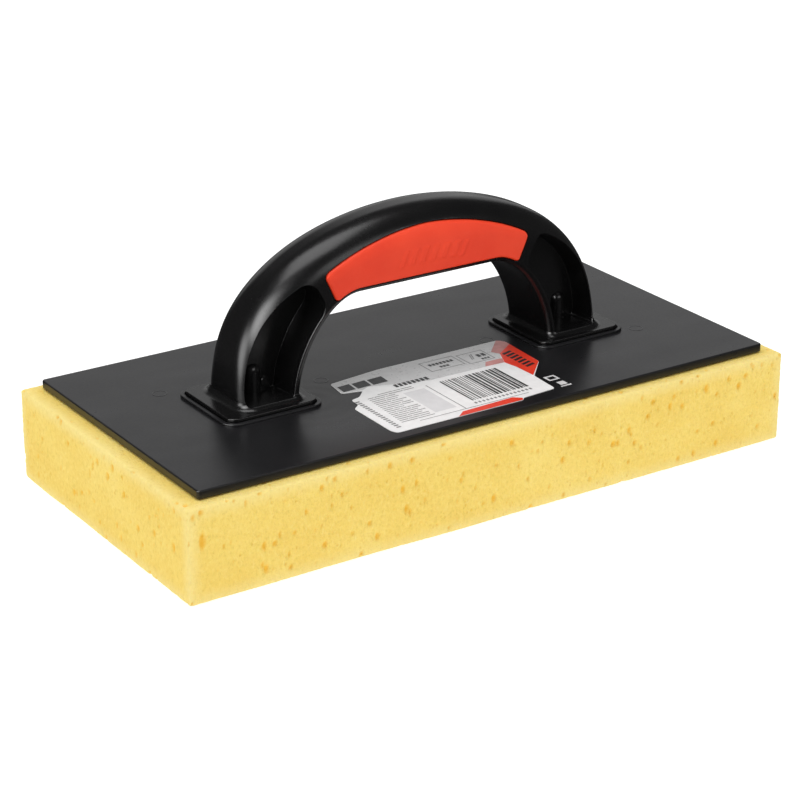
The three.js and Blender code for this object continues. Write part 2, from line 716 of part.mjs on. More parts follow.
addPart("sponge_pad", spongePad(), 0xf3d873, 0.95, 0);
addPart("adhesive_layer", adhesiveLayer(), 0xd8cfae, 0.7, 0);
addPart("backing_plate", backingPlate(), 0x242426, 0.42, 0);
addPart("handle_body", handleBody(), BLACK_PLASTIC, 0.32, 0);
addPart("grip_inset_front", inlay, SOFT_RED, 0.6, 0);
addPart("grip_inset_rear", mirroredY(inlay), SOFT_RED, 0.6, 0);
addPart("left_foot_screw", moved(screw, -FOOT_X, 0, 0), STEEL, 0.35, 0.9);
addPart("right_foot_screw", moved(screw, FOOT_X, 0, 0), STEEL, 0.35, 0.9);
addPart("product_label", productLabel(), 0xd9dadb, 0.4, 0);

export default group;
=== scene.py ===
# Sponge float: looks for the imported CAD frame. Metres, in the row's own frame:
# +X along the plate, +Y to the rear, +Z up, origin in the middle of the sponge's working face.
import math
import random

import bmesh
import bpy
import numpy as np
from mathutils import Matrix, Vector
from mathutils.kdtree import KDTree


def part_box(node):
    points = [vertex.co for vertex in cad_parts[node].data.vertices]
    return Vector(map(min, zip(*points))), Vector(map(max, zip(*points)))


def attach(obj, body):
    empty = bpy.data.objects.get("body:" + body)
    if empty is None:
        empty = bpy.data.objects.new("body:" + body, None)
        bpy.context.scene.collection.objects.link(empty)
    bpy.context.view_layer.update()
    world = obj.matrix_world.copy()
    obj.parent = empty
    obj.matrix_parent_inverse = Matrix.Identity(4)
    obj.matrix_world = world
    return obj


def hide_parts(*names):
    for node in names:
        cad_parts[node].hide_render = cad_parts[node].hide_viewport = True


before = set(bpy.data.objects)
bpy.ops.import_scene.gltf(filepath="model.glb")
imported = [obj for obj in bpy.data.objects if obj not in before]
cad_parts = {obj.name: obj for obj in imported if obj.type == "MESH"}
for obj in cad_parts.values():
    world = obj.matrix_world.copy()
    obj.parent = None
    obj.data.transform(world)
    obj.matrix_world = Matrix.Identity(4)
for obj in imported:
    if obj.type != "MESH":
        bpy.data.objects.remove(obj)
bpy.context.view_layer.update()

MM = 0.001
SCENE = bpy.context.scene


# ======== camera, floor and light
CAMERA_AIM = Vector((31.86, 54.49, 0)) * MM
CAMERA_AZIMUTH = math.radians(-33.407)
CAMERA_ELEVATION = math.radians(22.563)
CAMERA_DISTANCE = 1.0911
CAMERA_LENS = 111.07  # millimetres, on a 36 mm sensor
CAMERA_SENSOR = 36

# The surround's brightness to the camera and to soft light, and in reflections.
SURROUND_SOFT = 0.55
SURROUND_REFLECTED = 0.05
# Seen only in reflections: direction, degrees where the patch is full and where it ends, radiance.
LIGHT_PATCHES = (((-0.97, 0.06, 0.14), 2, 22, 5.8), ((-0.72, -0.38, 0.57), 2, 24, 7.4))
# Name, place, size and radiance of each lamp. All of them face one point.
LAMPS = (
    ("overhead", (-0.2, 0.1, 2.0), (1.3, 1.3), 3.2),
    ("key_left", (-1.5, -0.45, 1.15), (0.8, 0.9), 2.4),
    ("backdrop", (1.1, 2.4, 0.85), (3.2, 1.5), 0.55),
    ("front_fill", (0.9, -2.2, 1.5), (1.6, 0.9), 2.1),
)
LAMP_AIM = (0, 0, 0.05)
FLOOR_SIZE = 14
FLOOR_GLOW = 0.78


def make_camera():
    az, el = CAMERA_AZIMUTH, CAMERA_ELEVATION
    back = Vector((math.sin(az) * math.cos(el), -math.cos(az) * math.cos(el), math.sin(el)))
    right = Vector((math.cos(az), math.sin(az), 0))
    data = bpy.data.cameras.new("camera")
    data.lens = CAMERA_LENS
    data.sensor_width = CAMERA_SENSOR
    data.clip_start = 0.01
    camera = bpy.data.objects.new("camera", data)
    SCENE.collection.objects.link(camera)
    turn = Matrix((right, back.cross(right), back)).transposed().to_4x4()
    turn.translation = CAMERA_AIM + back * CAMERA_DISTANCE
    camera.matrix_world = turn
    SCENE.camera = camera


def softbox(name, place, size, radiance):
    """A rectangular soft light whose face shines with this radiance."""
    data = bpy.data.lights.new(name, "AREA")
    data.shape = "RECTANGLE"
    data.size, data.size_y = size
    data.energy = radiance * math.pi * size[0] * size[1]
    light = bpy.data.objects.new(name, data)
    SCENE.collection.objects.link(light)
    light.location = place
    light.rotation_euler = (Vector(place) - Vector(LAMP_AIM)).to_track_quat("Z", "Y").to_euler()


def patch_of_light(tree, toward, inner, outer, radiance):
    """Strength of a soft round patch in the surround, fading between two angles from a direction."""
    place = tree.nodes.new("ShaderNodeTexCoord")
    facing = tree.nodes.new("ShaderNodeVectorMath")
    facing.operation = "DOT_PRODUCT"
    facing.inputs[1].default_value = Vector(toward).normalized()
    tree.links.new(place.outputs["Generated"], facing.inputs[0])
    fade = tree.nodes.new("ShaderNodeMapRange")
    fade.interpolation_type = "SMOOTHSTEP"
    limits = (math.cos(math.radians(outer)), math.cos(math.radians(inner)), 0, radiance)
    for target, value in zip(list(fade.inputs)[1:5], limits):
        target.default_value = value
    tree.links.new(facing.outputs["Value"], fade.inputs["Value"])
    return fade.outputs["Result"]


def make_studio():
    """Pale to the camera and to soft light. In reflections it is dark but for two soft patches."""
    world = bpy.data.worlds.new("studio")
    SCENE.world = world
    world.use_nodes = True
    tree = world.node_tree
    background = tree.nodes["Background"]
    path = tree.nodes.new("ShaderNodeLightPath")
    level = tree.nodes.new("ShaderNodeMix")
    level.inputs["A"].default_value = SURROUND_SOFT
    reflected = SURROUND_REFLECTED
    for patch in LIGHT_PATCHES:
        total = tree.nodes.new("ShaderNodeMath")
        tree.links.new(patch_of_light(tree, *patch), total.inputs[0])
        if isinstance(reflected, float):
            total.inputs[1].default_value = reflected
        else:
            tree.links.new(reflected, total.inputs[1])
        reflected = total.outputs[0]
    tree.links.new(reflected, level.inputs["B"])
    tree.links.new(path.outputs["Is Glossy Ray"], level.inputs["Factor"])
    tree.links.new(level.outputs["Result"], background.inputs["Strength"])
    background.inputs["Color"].default_value = (1, 1, 1, 1)
    for lamp in LAMPS:
        softbox(*lamp)
    SCENE.view_settings.view_transform = "Standard"
    SCENE.view_settings.look = "None"


def make_floor():
    bpy.ops.mesh.primitive_plane_add(size=FLOOR_SIZE, location=(0, 0, 0))
    floor = bpy.context.object
    floor.name = "floor"
    nodes = Nodes("floor_paper")
    tone = nodes.ramp(nodes.noise(6, detail=3), [(0.3, (0.44, 0.44, 0.44)), (0.7, (0.46, 0.46, 0.46))])
    nodes.shader(color=tone, roughness=0.9)
    nodes.socket("Emission Color", (1, 1, 1, 1))
    nodes.socket("Emission Strength", FLOOR_GLOW)
    nodes.socket("Specular IOR Level", 0.0)
    floor.data.materials.append(nodes.material)
    floor.visible_glossy = False


# ======== material nodes
class Nodes:
    """One material's node tree, with short calls for the nodes that the looks below use."""

    def __init__(self, name):
        self.material = bpy.data.materials.new(name)
        self.material.use_nodes = True
        self.tree = self.material.node_tree
        self.bsdf = self.tree.nodes["Principled BSDF"]
        self.object_place = self.tree.nodes.new("ShaderNodeTexCoord").outputs["Object"]

    def socket(self, name, value):
        self.bsdf.inputs[name].default_value = value

    def link(self, source, target):
        if isinstance(source, bpy.types.NodeSocket):
            self.tree.links.new(source, target)
        elif isinstance(source, tuple) and len(source) == 3:
            target.default_value = (*source, 1) if target.type == "RGBA" else source
        else:
            target.default_value = source

    def shader(self, color=None, roughness=None, normal=None):
        for name, value in (("Base Color", color), ("Roughness", roughness), ("Normal", normal)):
            if value is not None:
                self.link(value, self.bsdf.inputs[name])

    def scaled(self, scale):
        """The object's coordinates stretched by a scale for each axis."""
        node = self.tree.nodes.new("ShaderNodeMapping")
        self.link(self.object_place, node.inputs["Vector"])
        self.link(tuple(scale), node.inputs["Scale"])
        return node.outputs[0]

    def noise(self, scale, detail=2, rough=0.5, distortion=0.0, place=None):
        """Noise whose scale is in cells per metre."""
        node = self.tree.nodes.new("ShaderNodeTexNoise")
        self.link(place or self.object_place, node.inputs["Vector"])
        names = ("Scale", "Detail", "Roughness", "Distortion")
        for name, value in zip(names, (scale, detail, rough, distortion)):
            self.link(value, node.inputs[name])
        return node.outputs["Fac"]

    def cells(self, scale, place=None):
        """Distance to the nearest of scattered points, in cells."""
        node = self.tree.nodes.new("ShaderNodeTexVoronoi")
        self.link(place or self.object_place, node.inputs["Vector"])
        self.link(scale, node.inputs["Scale"])
        return node.outputs["Distance"]

    def math(self, operation, a, b=0.0):
        node = self.tree.nodes.new("ShaderNodeMath")
        node.operation = operation
        for value, target in zip((a, b), node.inputs):
            self.link(value, target)
        return node.outputs[0]

    def remap(self, value, low, high, to_low=0.0, to_high=1.0):
        node = self.tree.nodes.new("ShaderNodeMapRange")
        for source, target in zip((value, low, high, to_low, to_high), node.inputs):
            self.link(source, target)
        return node.outputs[0]

    def ramp(self, value, stops):
        node = self.tree.nodes.new("ShaderNodeValToRGB")
        self.link(value, node.inputs[0])
        elements = node.color_ramp.elements
        while len(elements) < len(stops):
            elements.new(0.5)
        for element, (place, color) in zip(elements, stops):
            element.position = place
            element.color = (*color, 1)
        return node.outputs[0]

    @staticmethod
    def color_end(ends, name):
        """A Mix node has an end of each type under one name. This is the coloured one."""
        return next(end for end in ends if end.name == name and end.type == "RGBA")

    def mix(self, share, a, b):
        node = self.tree.nodes.new("ShaderNodeMix")
        node.data_type = "RGBA"
        self.link(share, node.inputs["Factor"])
        self.link(a, self.color_end(node.inputs, "A"))
        self.link(b, self.color_end(node.inputs, "B"))
        return self.color_end(node.outputs, "Result")

    def bump(self, height, distance, strength=1.0, normal=None):
        """Relief that lifts a height of 1 by a distance in metres."""
        node = self.tree.nodes.new("ShaderNodeBump")
        self.link(height, node.inputs["Height"])
        node.inputs["Distance"].default_value = distance
        node.inputs["Strength"].default_value = strength
        if normal is not None:
            self.link(normal, node.inputs["Normal"])
        return node.outputs[0]

    def attribute(self, name):
        node = self.tree.nodes.new("ShaderNodeAttribute")
        node.attribute_name = name
        return node.outputs["Fac"]

    def axis(self, name):
        node = self.tree.nodes.new("ShaderNodeSeparateXYZ")
        self.link(self.object_place, node.inputs[0])
        return node.outputs[name]


def finish_node(node_name, material):
    """Gives a CAD node that stays its better material."""
    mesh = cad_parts[node_name].data
    mesh.materials.clear()
    mesh.materials.append(material)


def new_piece(name, mesh, material, replaces=()):
    """A new piece on the root body with the given material. The CAD parts that it replaces are hidden."""
    piece = bpy.data.objects.new(name, mesh)
    SCENE.collection.objects.link(piece)
    mesh.materials.clear()
    mesh.materials.append(material)
    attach(piece, "root")
    if replaces:
        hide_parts(*replaces)
    return piece


# ======== sponge
SPONGE_STEP = 0.95 * MM
SPONGE_EDGE = 1.5 * MM  # rounding of the worn edges
SPONGE_SWELL = 0.7 * MM  # how far the free sides stand out past the CAD block
WEAR_AND_GLOW_BAND = 7 * MM  # width of the paler band along the edges: partly real wear, partly a painted glow of light through the thin edges
SPONGE_SAG = 0.5 * MM  # depth of the surface's slow waves
SAG_CELL = 38 * MM
SAG_SEED = 9
SAG_WAVES = 14
SAG_LENGTHS, SAG_PHASES = (0.7, 1.6), (0, 7)  # of a wave, in cells and in radians
SPONGE_GRAIN = 0.16 * MM  # depth of the unevenness from point to point
SPONGE_SEED = 41
PORE_SPACING = 4.2 * MM
PORE_RADII = (0.4 * MM, 1.75 * MM)
PORE_DEPTH = 0.62  # of its radius
PORE_FLAT = 0.1  # share of its radius that is as deep as its middle
PORE_GAPS = 0.25  # share of the places that stay without a pore
SIDE_STRETCH, FACE_STRETCH = (1.1, 2.1), (0.8, 1.3)
PORE_SIZE_POWER = 3.6  # above 1, small pores are more common than large ones
PORE_SEARCH = 1.15  # points are looked for this far out, times the stretched radius
PORE_FULL_SHADE = 0.9 * MM  # depth where a pore's painted shade is full
# Place, radius and stretch of single large pores, in millimetres.
LARGE_PORES = (((-135.7, -69.5, 25.5), 2.0, 2.6), ((-142, 9.5, 24.5), 1.0, 3.6))
UNDER_PLATE_CALM = 0.25  # share of the unevenness that is left under the plate
TOUCHING = 0.001 * MM
WELDS_PER_METRE = 1e7  # points nearer than one of these steps are one point
HIDDEN_MARGIN = 9 * MM  # how far under the plate the sponge's top stays finely divided


def stations(low, high, step):
    return np.linspace(low, high, max(2, round((high - low) / step)) + 1)


def box_grid(low, high, step, hole):
    """Vertices and quads of an evenly divided box, open at the top over a hole of these half-sizes,
    and the rim of that hole as a loop of vertices."""
    xs, ys, zs = (stations(low[i], high[i], step) for i in range(3))
    index, points, quads = {}, [], []

    def vertex(x, y, z):
        key = tuple(round(value * WELDS_PER_METRE) for value in (x, y, z))
        if key not in index:
            index[key] = len(points)
            points.append((x, y, z))
        return index[key]

    def patch(us, vs, place, skip=None):
        grid = [[vertex(*place(u, v)) for v in vs] for u in us]
        for i in range(len(us) - 1):
            for j in range(len(vs) - 1):
                if skip is None or not skip(us[i], us[i + 1], vs[j], vs[j + 1]):
                    quads.append((grid[i][j], grid[i + 1][j], grid[i + 1][j + 1], grid[i][j + 1]))

    def inside(u0, u1, v0, v1):
        return max(abs(u0), abs(u1)) < hole[0] and max(abs(v0), abs(v1)) < hole[1]

    patch(xs, zs, lambda u, v: (u, low[1], v))
    patch(xs[::-1], zs, lambda u, v: (u, high[1], v))
    patch(ys[::-1], zs, lambda u, v: (low[0], u, v))
    patch(ys, zs, lambda u, v: (high[0], u, v))
    patch(xs[::-1], ys, lambda u, v: (u, v, low[2]))
    patch(xs, ys, lambda u, v: (u, v, high[2]), inside)
    hole_x = [x for x in xs if abs(x) < hole[0]]
    hole_y = [y for y in ys if abs(y) < hole[1]]
    top = high[2]
    rim = [vertex(x, hole_y[0], top) for x in hole_x[:-1]]
    rim += [vertex(hole_x[-1], y, top) for y in hole_y[:-1]]
    rim += [vertex(x, hole_y[-1], top) for x in hole_x[:0:-1]]
    rim += [vertex(hole_x[0], y, top) for y in hole_y[:0:-1]]
    return np.array(points), quads, rim


def smooth_step(low, high, value):
    t = np.clip((value - low) / (high - low), 0, 1)
    return t * t * (3 - 2 * t)


def wave_field(points, cell, seed):
    """Slow random waves about 0.5."""
    rng = np.random.default_rng(seed)
    total = np.zeros(len(points))
    for _ in range(SAG_WAVES):
        direction = rng.normal(size=3)
        direction /= np.linalg.norm(direction)
        length = cell * rng.uniform(*SAG_LENGTHS)
        total += np.sin(points @ direction * (2 * math.pi / length) + rng.uniform(*SAG_PHASES))
    return 0.5 + total / SAG_WAVES


def sponge_pores(low, high, rng):
    """(place, radius, stretch) of each open pore. Those in the sides are taller than wide."""
    pores = []
    axes = ((0, 2, 1), (1, 2, 0), (0, 1, 2))  # two along a face and one through it
    for u, v, fixed, level in [(*three, end[three[2]]) for three in axes for end in (low, high)]:
        across = max(1, round((high[u] - low[u]) / PORE_SPACING))
        up = max(1, round((high[v] - low[v]) / PORE_SPACING))
        for i in range(across):
            for j in range(up):
                if rng.random() < PORE_GAPS:
                    continue
                place = [0.0, 0.0, 0.0]
                place[u] = low[u] + (high[u] - low[u]) * (i + rng.uniform(0, 1)) / across
                place[v] = low[v] + (high[v] - low[v]) * (j + rng.uniform(0, 1)) / up
                place[fixed] = level
                size = rng.random() ** PORE_SIZE_POWER
                radius = PORE_RADII[0] + (PORE_RADII[1] - PORE_RADII[0]) * size
                stretch = rng.uniform(*(SIDE_STRETCH if v == 2 else FACE_STRETCH))
                pores.append((Vector(place), radius, stretch))
    pores += [(Vector(place) * MM, radius * MM, stretch) for place, radius, stretch in LARGE_PORES]
    return pores


def pore_depths(points, pores):
    """How deep the pores press each point in."""
    tree = KDTree(len(points))
    for i, p in enumerate(points):
        tree.insert(p, i)
    tree.balance()
    depth = np.zeros(len(points))
    for place, radius, stretch in pores:
        for near, i, _ in tree.find_range(place, radius * stretch * PORE_SEARCH):
            away = near - place
            reach = math.hypot(away.x, away.y, away.z / stretch) / radius
            if reach < 1:
                fall = 1 - smooth_step(PORE_FLAT, 1, reach)
                depth[i] = max(depth[i], fall * radius * PORE_DEPTH)
    return depth


def make_sponge():
    low, high = (np.array(corner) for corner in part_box("sponge_pad"))
    plate_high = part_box("backing_plate")[1]
    hole = (plate_high[0] - HIDDEN_MARGIN, plate_high[1] - HIDDEN_MARGIN)
    step = SPONGE_STEP * 1
    points, quads, rim = box_grid(low, high, step, hole)
    inner = np.clip(points, low + SPONGE_EDGE, high - SPONGE_EDGE)
    outward = points - inner
    length = np.linalg.norm(outward, axis=1, keepdims=True)
    length[length == 0] = 1
    normals = outward / length
    rounded = inner + normals * SPONGE_EDGE
    to_faces = np.sort(np.minimum(points - low, high - points), axis=1)
    # Paler band along the edges: partly real wear, partly a painted glow of light shining through the thin
    # edges.
    edge = 1 - smooth_step(0, WEAR_AND_GLOW_BAND, to_faces[:, 1])

    depth = pore_depths(points, sponge_pores(low, high, random.Random(SPONGE_SEED)))
    grain = np.random.default_rng(SPONGE_SEED).random(len(points))
    sag = SPONGE_SAG * wave_field(points, SAG_CELL, SAG_SEED) + SPONGE_GRAIN * grain
    under_plate = (np.abs(points[:, 0]) < plate_high[0]) & (np.abs(points[:, 1]) < plate_high[1])
    calm = np.where(under_plate & (points[:, 2] > high[2] - TOUCHING), UNDER_PLATE_CALM, 1.0)
    placed = rounded - normals * ((sag + depth) * calm)[:, None]
    swell = np.array((SPONGE_SWELL, SPONGE_SWELL, 0))
    placed = placed * (1 + swell / high)
    placed[:, 2] = np.clip(placed[:, 2], low[2], high[2])

    mesh = bpy.data.meshes.new("sponge")
    mesh.from_pydata([tuple(p) for p in placed], [], quads + [tuple(rim)])
    # Painted shade: each point's pore depth is stored so that the material darkens the hollows.
    for name, values in (("pore_shade", np.clip(depth / PORE_FULL_SHADE, 0, 1)), ("edge", edge)):
        layer = mesh.attributes.new(name, "FLOAT", "POINT")
        layer.data.foreach_set("value", values.astype(np.float32))
    mesh.shade_smooth()
    mesh.validate()
    piece = new_piece("sponge", mesh, sponge_material(), ("sponge_pad",))


def sponge_material():
    m = Nodes("sponge_foam")
    upright = m.scaled((1, 1, 0.62))
    fine = m.cells(1250, place=upright)
    small = m.cells(560, place=upright)
    patch = m.noise(38, detail=3, rough=0.5)
    grain = m.noise(760, detail=3, rough=0.75, place=upright)
    body = m.ramp(
        patch,
        [(0.32, (0.885, 0.635, 0.150)), (0.52, (0.905, 0.670, 0.170)), (0.70, (0.925, 0.705, 0.200))],
    )
    # Random mottling, with painted shade and light: the grain darkens the colour where the bump below dips
    # and lightens it where the bump rises.
    color = m.mix(m.remap(grain, 0.52, 0.74, 0, 0.55), body, (0.70, 0.505, 0.105))
    color = m.mix(m.remap(grain, 0.48, 0.28, 0, 0.50), color, (0.97, 0.79, 0.29))
    # Painted shade: near the small cells, where the bump dips, the colour darkens.
    color = m.mix(m.math("MULTIPLY", m.remap(fine, 0.05, 0.32, 1, 0), 0.25), color, (0.72, 0.50, 0.11))
    # Painted shade: these spots are pits in the bump below, coloured darker and more orange.
    shaded_pit = m.math("MULTIPLY", m.remap(small, 0.12, 0.30, 1, 0), m.remap(m.noise(150, detail=2), 0.50, 0.62))
    color = m.mix(m.math("MULTIPLY", shaded_pit, 0.55), color, (0.80, 0.50, 0.06))
    # Painted glow and wear: the edges turn paler, partly worn foam, partly painted light through the thin
    # edges.
    color = m.mix(m.math("MULTIPLY", m.attribute("edge"), 0.50), color, (0.93, 0.80, 0.36))
    # Painted shade: a pore's depth sets how dark and orange its colour turns, where shade falls inside it.
    color = m.mix(m.remap(m.attribute("pore_shade"), 0.12, 0.9, 0, 0.80), color, (0.90, 0.50, 0.045))
    height = m.math("ADD", m.math("MULTIPLY", fine, 0.5), m.math("MULTIPLY", grain, -0.9))
    height = m.math("SUBTRACT", height, m.math("MULTIPLY", shaded_pit, 0.6))
    gloss = m.remap(grain, 0.3, 0.7, 0.90, 0.98)
    m.shader(color=color, roughness=gloss, normal=m.bump(height, 0.6 * MM, 0.7))
    m.socket("Specular IOR Level", 0.12)
    m.socket("Subsurface Weight", 0.15)
    m.socket("Subsurface Radius", (0.004, 0.003, 0.001))
    m.socket("Subsurface Scale", 0.7)
    return m.material


# ======== plastics
WITNESS_MARKS = ((-102, 25.5), (102, -21.6), (-41, 2), (41, 2))  # x, y in millimetres
WITNESS_RADIUS = 2.8 * MM
WITNESS_LINE = 0.35 * MM  # from the middle of a ring's line to where it ends
FLOW_CENTRE = (-56, -14)
FLOW_RIPPLES = 900  # radians a metre
FLOW_START, FLOW_END = 10 * MM, 30 * MM  # where the arcs begin to fade, and where they are gone


def distance_from(m, x, y):
    """Distance from an upright line at x, y millimetres, on a part's own coordinates."""
    dx = m.math("SUBTRACT", m.axis("X"), x * MM)
    dy = m.math("SUBTRACT", m.axis("Y"), y * MM)
    return m.math("SQRT", m.math("ADD", m.math("MULTIPLY", dx, dx), m.math("MULTIPLY", dy, dy)))


def plate_material():
    """Moulded plastic with ejector witness rings and faint flow arcs by the left foot."""
    m = Nodes("plate_plastic")
    tone = m.ramp(m.noise(35, detail=4), [(0.3, (0.0075, 0.0075, 0.0085)), (0.7, (0.0120, 0.0118, 0.0130))])
    flow = m.noise(45, detail=2, distortion=0.4, place=m.scaled((0.25, 1, 1)))
    scuff = m.remap(m.noise(900, detail=3), 0.3, 0.7, 0, 0.05)
    gloss = m.math("ADD", m.remap(flow, 0.3, 0.7, 0.265, 0.305), scuff)
    rings = 0.0
    for x, y in WITNESS_MARKS:
        off = m.math("ABSOLUTE", m.math("SUBTRACT", distance_from(m, x, y), WITNESS_RADIUS))
        rings = m.math("ADD", rings, m.remap(off, 0, WITNESS_LINE, 1, 0))
    gate = distance_from(m, *FLOW_CENTRE)
    arcs = m.math("SINE", m.math("MULTIPLY", gate, FLOW_RIPPLES))
    arcs = m.math("MULTIPLY", arcs, m.remap(gate, FLOW_START, FLOW_END, 1, 0))
    normal = m.bump(m.noise(1500, detail=3, rough=0.6), 0.12 * MM, 0.09)
    normal = m.bump(m.noise(22, detail=2), 1.0 * MM, 0.25, normal)
    normal = m.bump(rings, 0.12 * MM, 0.8, normal)
    normal = m.bump(arcs, 0.04 * MM, 0.35, normal)
    m.shader(color=tone, roughness=gloss, normal=normal)
    m.socket("IOR", 1.5)
    return m.material


def handle_material():
    m = Nodes("handle_plastic")
    tone = m.ramp(m.noise(40, detail=3), [(0.3, (0.0036, 0.0036, 0.0038)), (0.7, (0.0060, 0.0058, 0.0060))])
    scuff = m.remap(m.noise(700, detail=2), 0.3, 0.7, 0, 0.03)
    gloss = m.math("ADD", m.remap(m.noise(28, detail=3), 0.3, 0.7, 0.20, 0.26), scuff)
    normal = m.bump(m.noise(1800, detail=3, rough=0.6), 0.1 * MM, 0.09)
    normal = m.bump(m.noise(70, detail=2), 0.4 * MM, 0.12, normal)
    m.shader(color=tone, roughness=gloss, normal=normal)
    m.socket("IOR", 1.5)
    return m.material


def grip_material():
    m = Nodes("soft_grip_rubber")
    tone = m.ramp(m.noise(50, detail=3), [(0.3, (0.80, 0.041, 0.010)), (0.7, (0.88, 0.056, 0.015))])
    dust = m.remap(m.noise(650, detail=4, rough=0.7), 0.5, 0.8, 0, 0.07)
    color = m.mix(dust, tone, (0.88, 0.16, 0.08))
    gloss = m.remap(m.noise(120, detail=3), 0.3, 0.7, 0.46, 0.58)
    normal = m.bump(m.noise(2200, detail=2, rough=0.7), 0.15 * MM, 0.4)
    m.shader(color=color, roughness=gloss, normal=normal)
    m.socket("IOR", 1.4)
    return m.material


def adhesive_material():
    m = Nodes("foam_adhesive")
    tone = m.ramp(m.noise(180, detail=4), [(0.3, (0.60, 0.50, 0.24)), (0.7, (0.74, 0.66, 0.40))])
    m.shader(color=tone, roughness=0.65, normal=m.bump(m.noise(600, detail=3), 0.3 * MM, 0.5))
    return m.material


def steel_material():
    m = Nodes("screw_steel")
    tone = m.ramp(m.noise(900, detail=3), [(0.3, (0.42, 0.43, 0.45)), (0.7, (0.55, 0.56, 0.58))])
    gloss = m.remap(m.noise(1600, detail=3), 0.3, 0.7, 0.26, 0.42)
    m.shader(color=tone, roughness=gloss, normal=m.bump(m.noise(2500), 0.05 * MM, 0.3))
    m.socket("Metallic", 0.95)
    return m.material


def film_material(name, low, high, roughness=0.36):
    """Printed film: an ink or stock between two near colours."""
    m = Nodes(name)
    tone = m.ramp(m.noise(260, detail=4), [(0.3, low), (0.7, high)])
    gloss = m.remap(m.noise(700, detail=2), 0.3, 0.7, roughness - 0.04, roughness + 0.05)
    m.shader(color=tone, roughness=gloss, normal=m.bump(m.noise(140, detail=2), 0.2 * MM, 0.25))
    return m.material


# ======== handle arch
# Sizes here are in millimetres. The arch is a row of sections, each from a point on its finger side
# to a point on its back. Travel runs from 0 at a foot to 1 at the middle of the handle.
def box_mm(node):
    return [np.array(corner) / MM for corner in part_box(node)]


HANDLE_LOW, HANDLE_HIGH = box_mm("handle_body")
PLATE_TOP = HANDLE_LOW[2]
FOOT_X = sum(corner[0] for corner in box_mm("right_foot_screw")) / 2
FLANGE_HALF = (HANDLE_HIGH[0] - FOOT_X, HANDLE_HIGH[1])
FLANGE_MARGIN = (6.9, 4.0)  # flange beyond the leg
FLANGE_THICKNESS = 2.4
FLANGE_CORNER = 4.0
FLANGE_BEVEL = 0.45
FLANGE_BEVEL_STEPS, FLANGE_CORNER_STEPS = 4, 8
FLANGE_TOP = PLATE_TOP + FLANGE_THICKNESS
FOOT_OFFSET = 1.0
LEG_DEPTH = 2 * (FLANGE_HALF[0] - FLANGE_MARGIN[0])
HALF_SPAN = FOOT_X + LEG_DEPTH / 2 - FOOT_OFFSET
HALF_WIDTH = FLANGE_HALF[1] - FLANGE_MARGIN[1]
ARCH_TOP = HANDLE_HIGH[2]
SPAN_FULLNESS, RISE_FULLNESS = 1.96, 2.8  # powers of the back's superellipse
GRIP_DEPTH = 29.0  # of the grip's middle, from the fingers' side to the back
FINGER_X = HALF_SPAN - LEG_DEPTH
FINGER_TOP = ARCH_TOP - GRIP_DEPTH
FINGER_TURN = 28.8  # length of the turn from the leg into the grip's level underside
GRIP_END = FINGER_X - FINGER_TURN
FINGER_CURVE_RISE, FINGER_CURVE_RUN = 20, 14  # reach of that turn's two curve handles
BACK_LEAD = 0.08  # how far a section's back point travels ahead of its finger point
GRIP_CREST, FOOT_CREST, CREST_BLEND = 4.2, 18.6, 0.4  # flat width of the back, and its blend's travel
FINGER_RADIUS = 3.0
FILLET = 3.2  # between leg and flange
WEB_HALF = 1.6
OVERRUN = 2.0  # how far a cutter runs past the face it opens

# How finely the pieces are divided.
SWEEP_STATIONS = 96
SEARCH_STATIONS = 160
CURVE_POINTS = 300
BACK_STEPS, FINGER_STEPS, FLARE_STEPS = 18, 7, 9
LIP_TURNS = np.radians([0, 18, 36, 54, 72])  # a rounded lip, short of flush with its surface


def measured(points):
    """Distance along a polyline at each of its points."""
    steps = np.linalg.norm(np.diff(points, axis=0), axis=1)
    return np.concatenate(([0], np.cumsum(steps)))


def finger_curve():
    """Side view of the fingers' side, from a foot up and in to the middle."""
    t = np.linspace(0, 1, CURVE_POINTS)[:, None]
    posts = np.array([
        (FINGER_X, PLATE_TOP),
        (FINGER_X, PLATE_TOP + FINGER_CURVE_RISE),
        (GRIP_END + FINGER_CURVE_RUN, FINGER_TOP),
        (GRIP_END, FINGER_TOP),
    ])
    weights = ((1 - t) ** 3, 3 * t * (1 - t) ** 2, 3 * t * t * (1 - t), t ** 3)
    turn = sum(weight * post for weight, post in zip(weights, posts))
    return np.vstack([turn, [(0, FINGER_TOP)]])


def back_curve():
    """Side view of the back, from a foot up and in to the middle."""
    angle = np.linspace(0, math.pi / 2, 2 * CURVE_POINTS)
    x = HALF_SPAN * np.clip(np.cos(angle), 0, 1) ** (2 / SPAN_FULLNESS)
    z = PLATE_TOP + (ARCH_TOP - PLATE_TOP) * np.sin(angle) ** (2 / RISE_FULLNESS)
    x[-1] = 0
    return np.stack([x, z], axis=1)


FINGER_CURVE, BACK_CURVE = finger_curve(), back_curve()
FINGER_RUN, BACK_RUN = measured(FINGER_CURVE), measured(BACK_CURVE)
FINGER_LENGTH, BACK_LENGTH = FINGER_RUN[-1], BACK_RUN[-1]


def on_curve(curve, run, where):
    return np.array([np.interp(where, run, curve[:, 0]), np.interp(where, run, curve[:, 1])])


def section_at(travel):
    """Finger-side point, unit direction to the back and depth of one section."""
    inner = on_curve(FINGER_CURVE, FINGER_RUN, travel * FINGER_LENGTH)
    lead = travel + BACK_LEAD * math.sin(math.pi * travel)
    outer = on_curve(BACK_CURVE, BACK_RUN, lead * BACK_LENGTH)
    depth = np.linalg.norm(outer - inner)
    return inner, (outer - inner) / depth, depth


def back_radius_at(travel):
    narrowed = math.sin(math.pi / 2 * min(travel / CREST_BLEND, 1))
    return HALF_WIDTH - (FOOT_CREST + (GRIP_CREST - FOOT_CREST) * narrowed) / 2


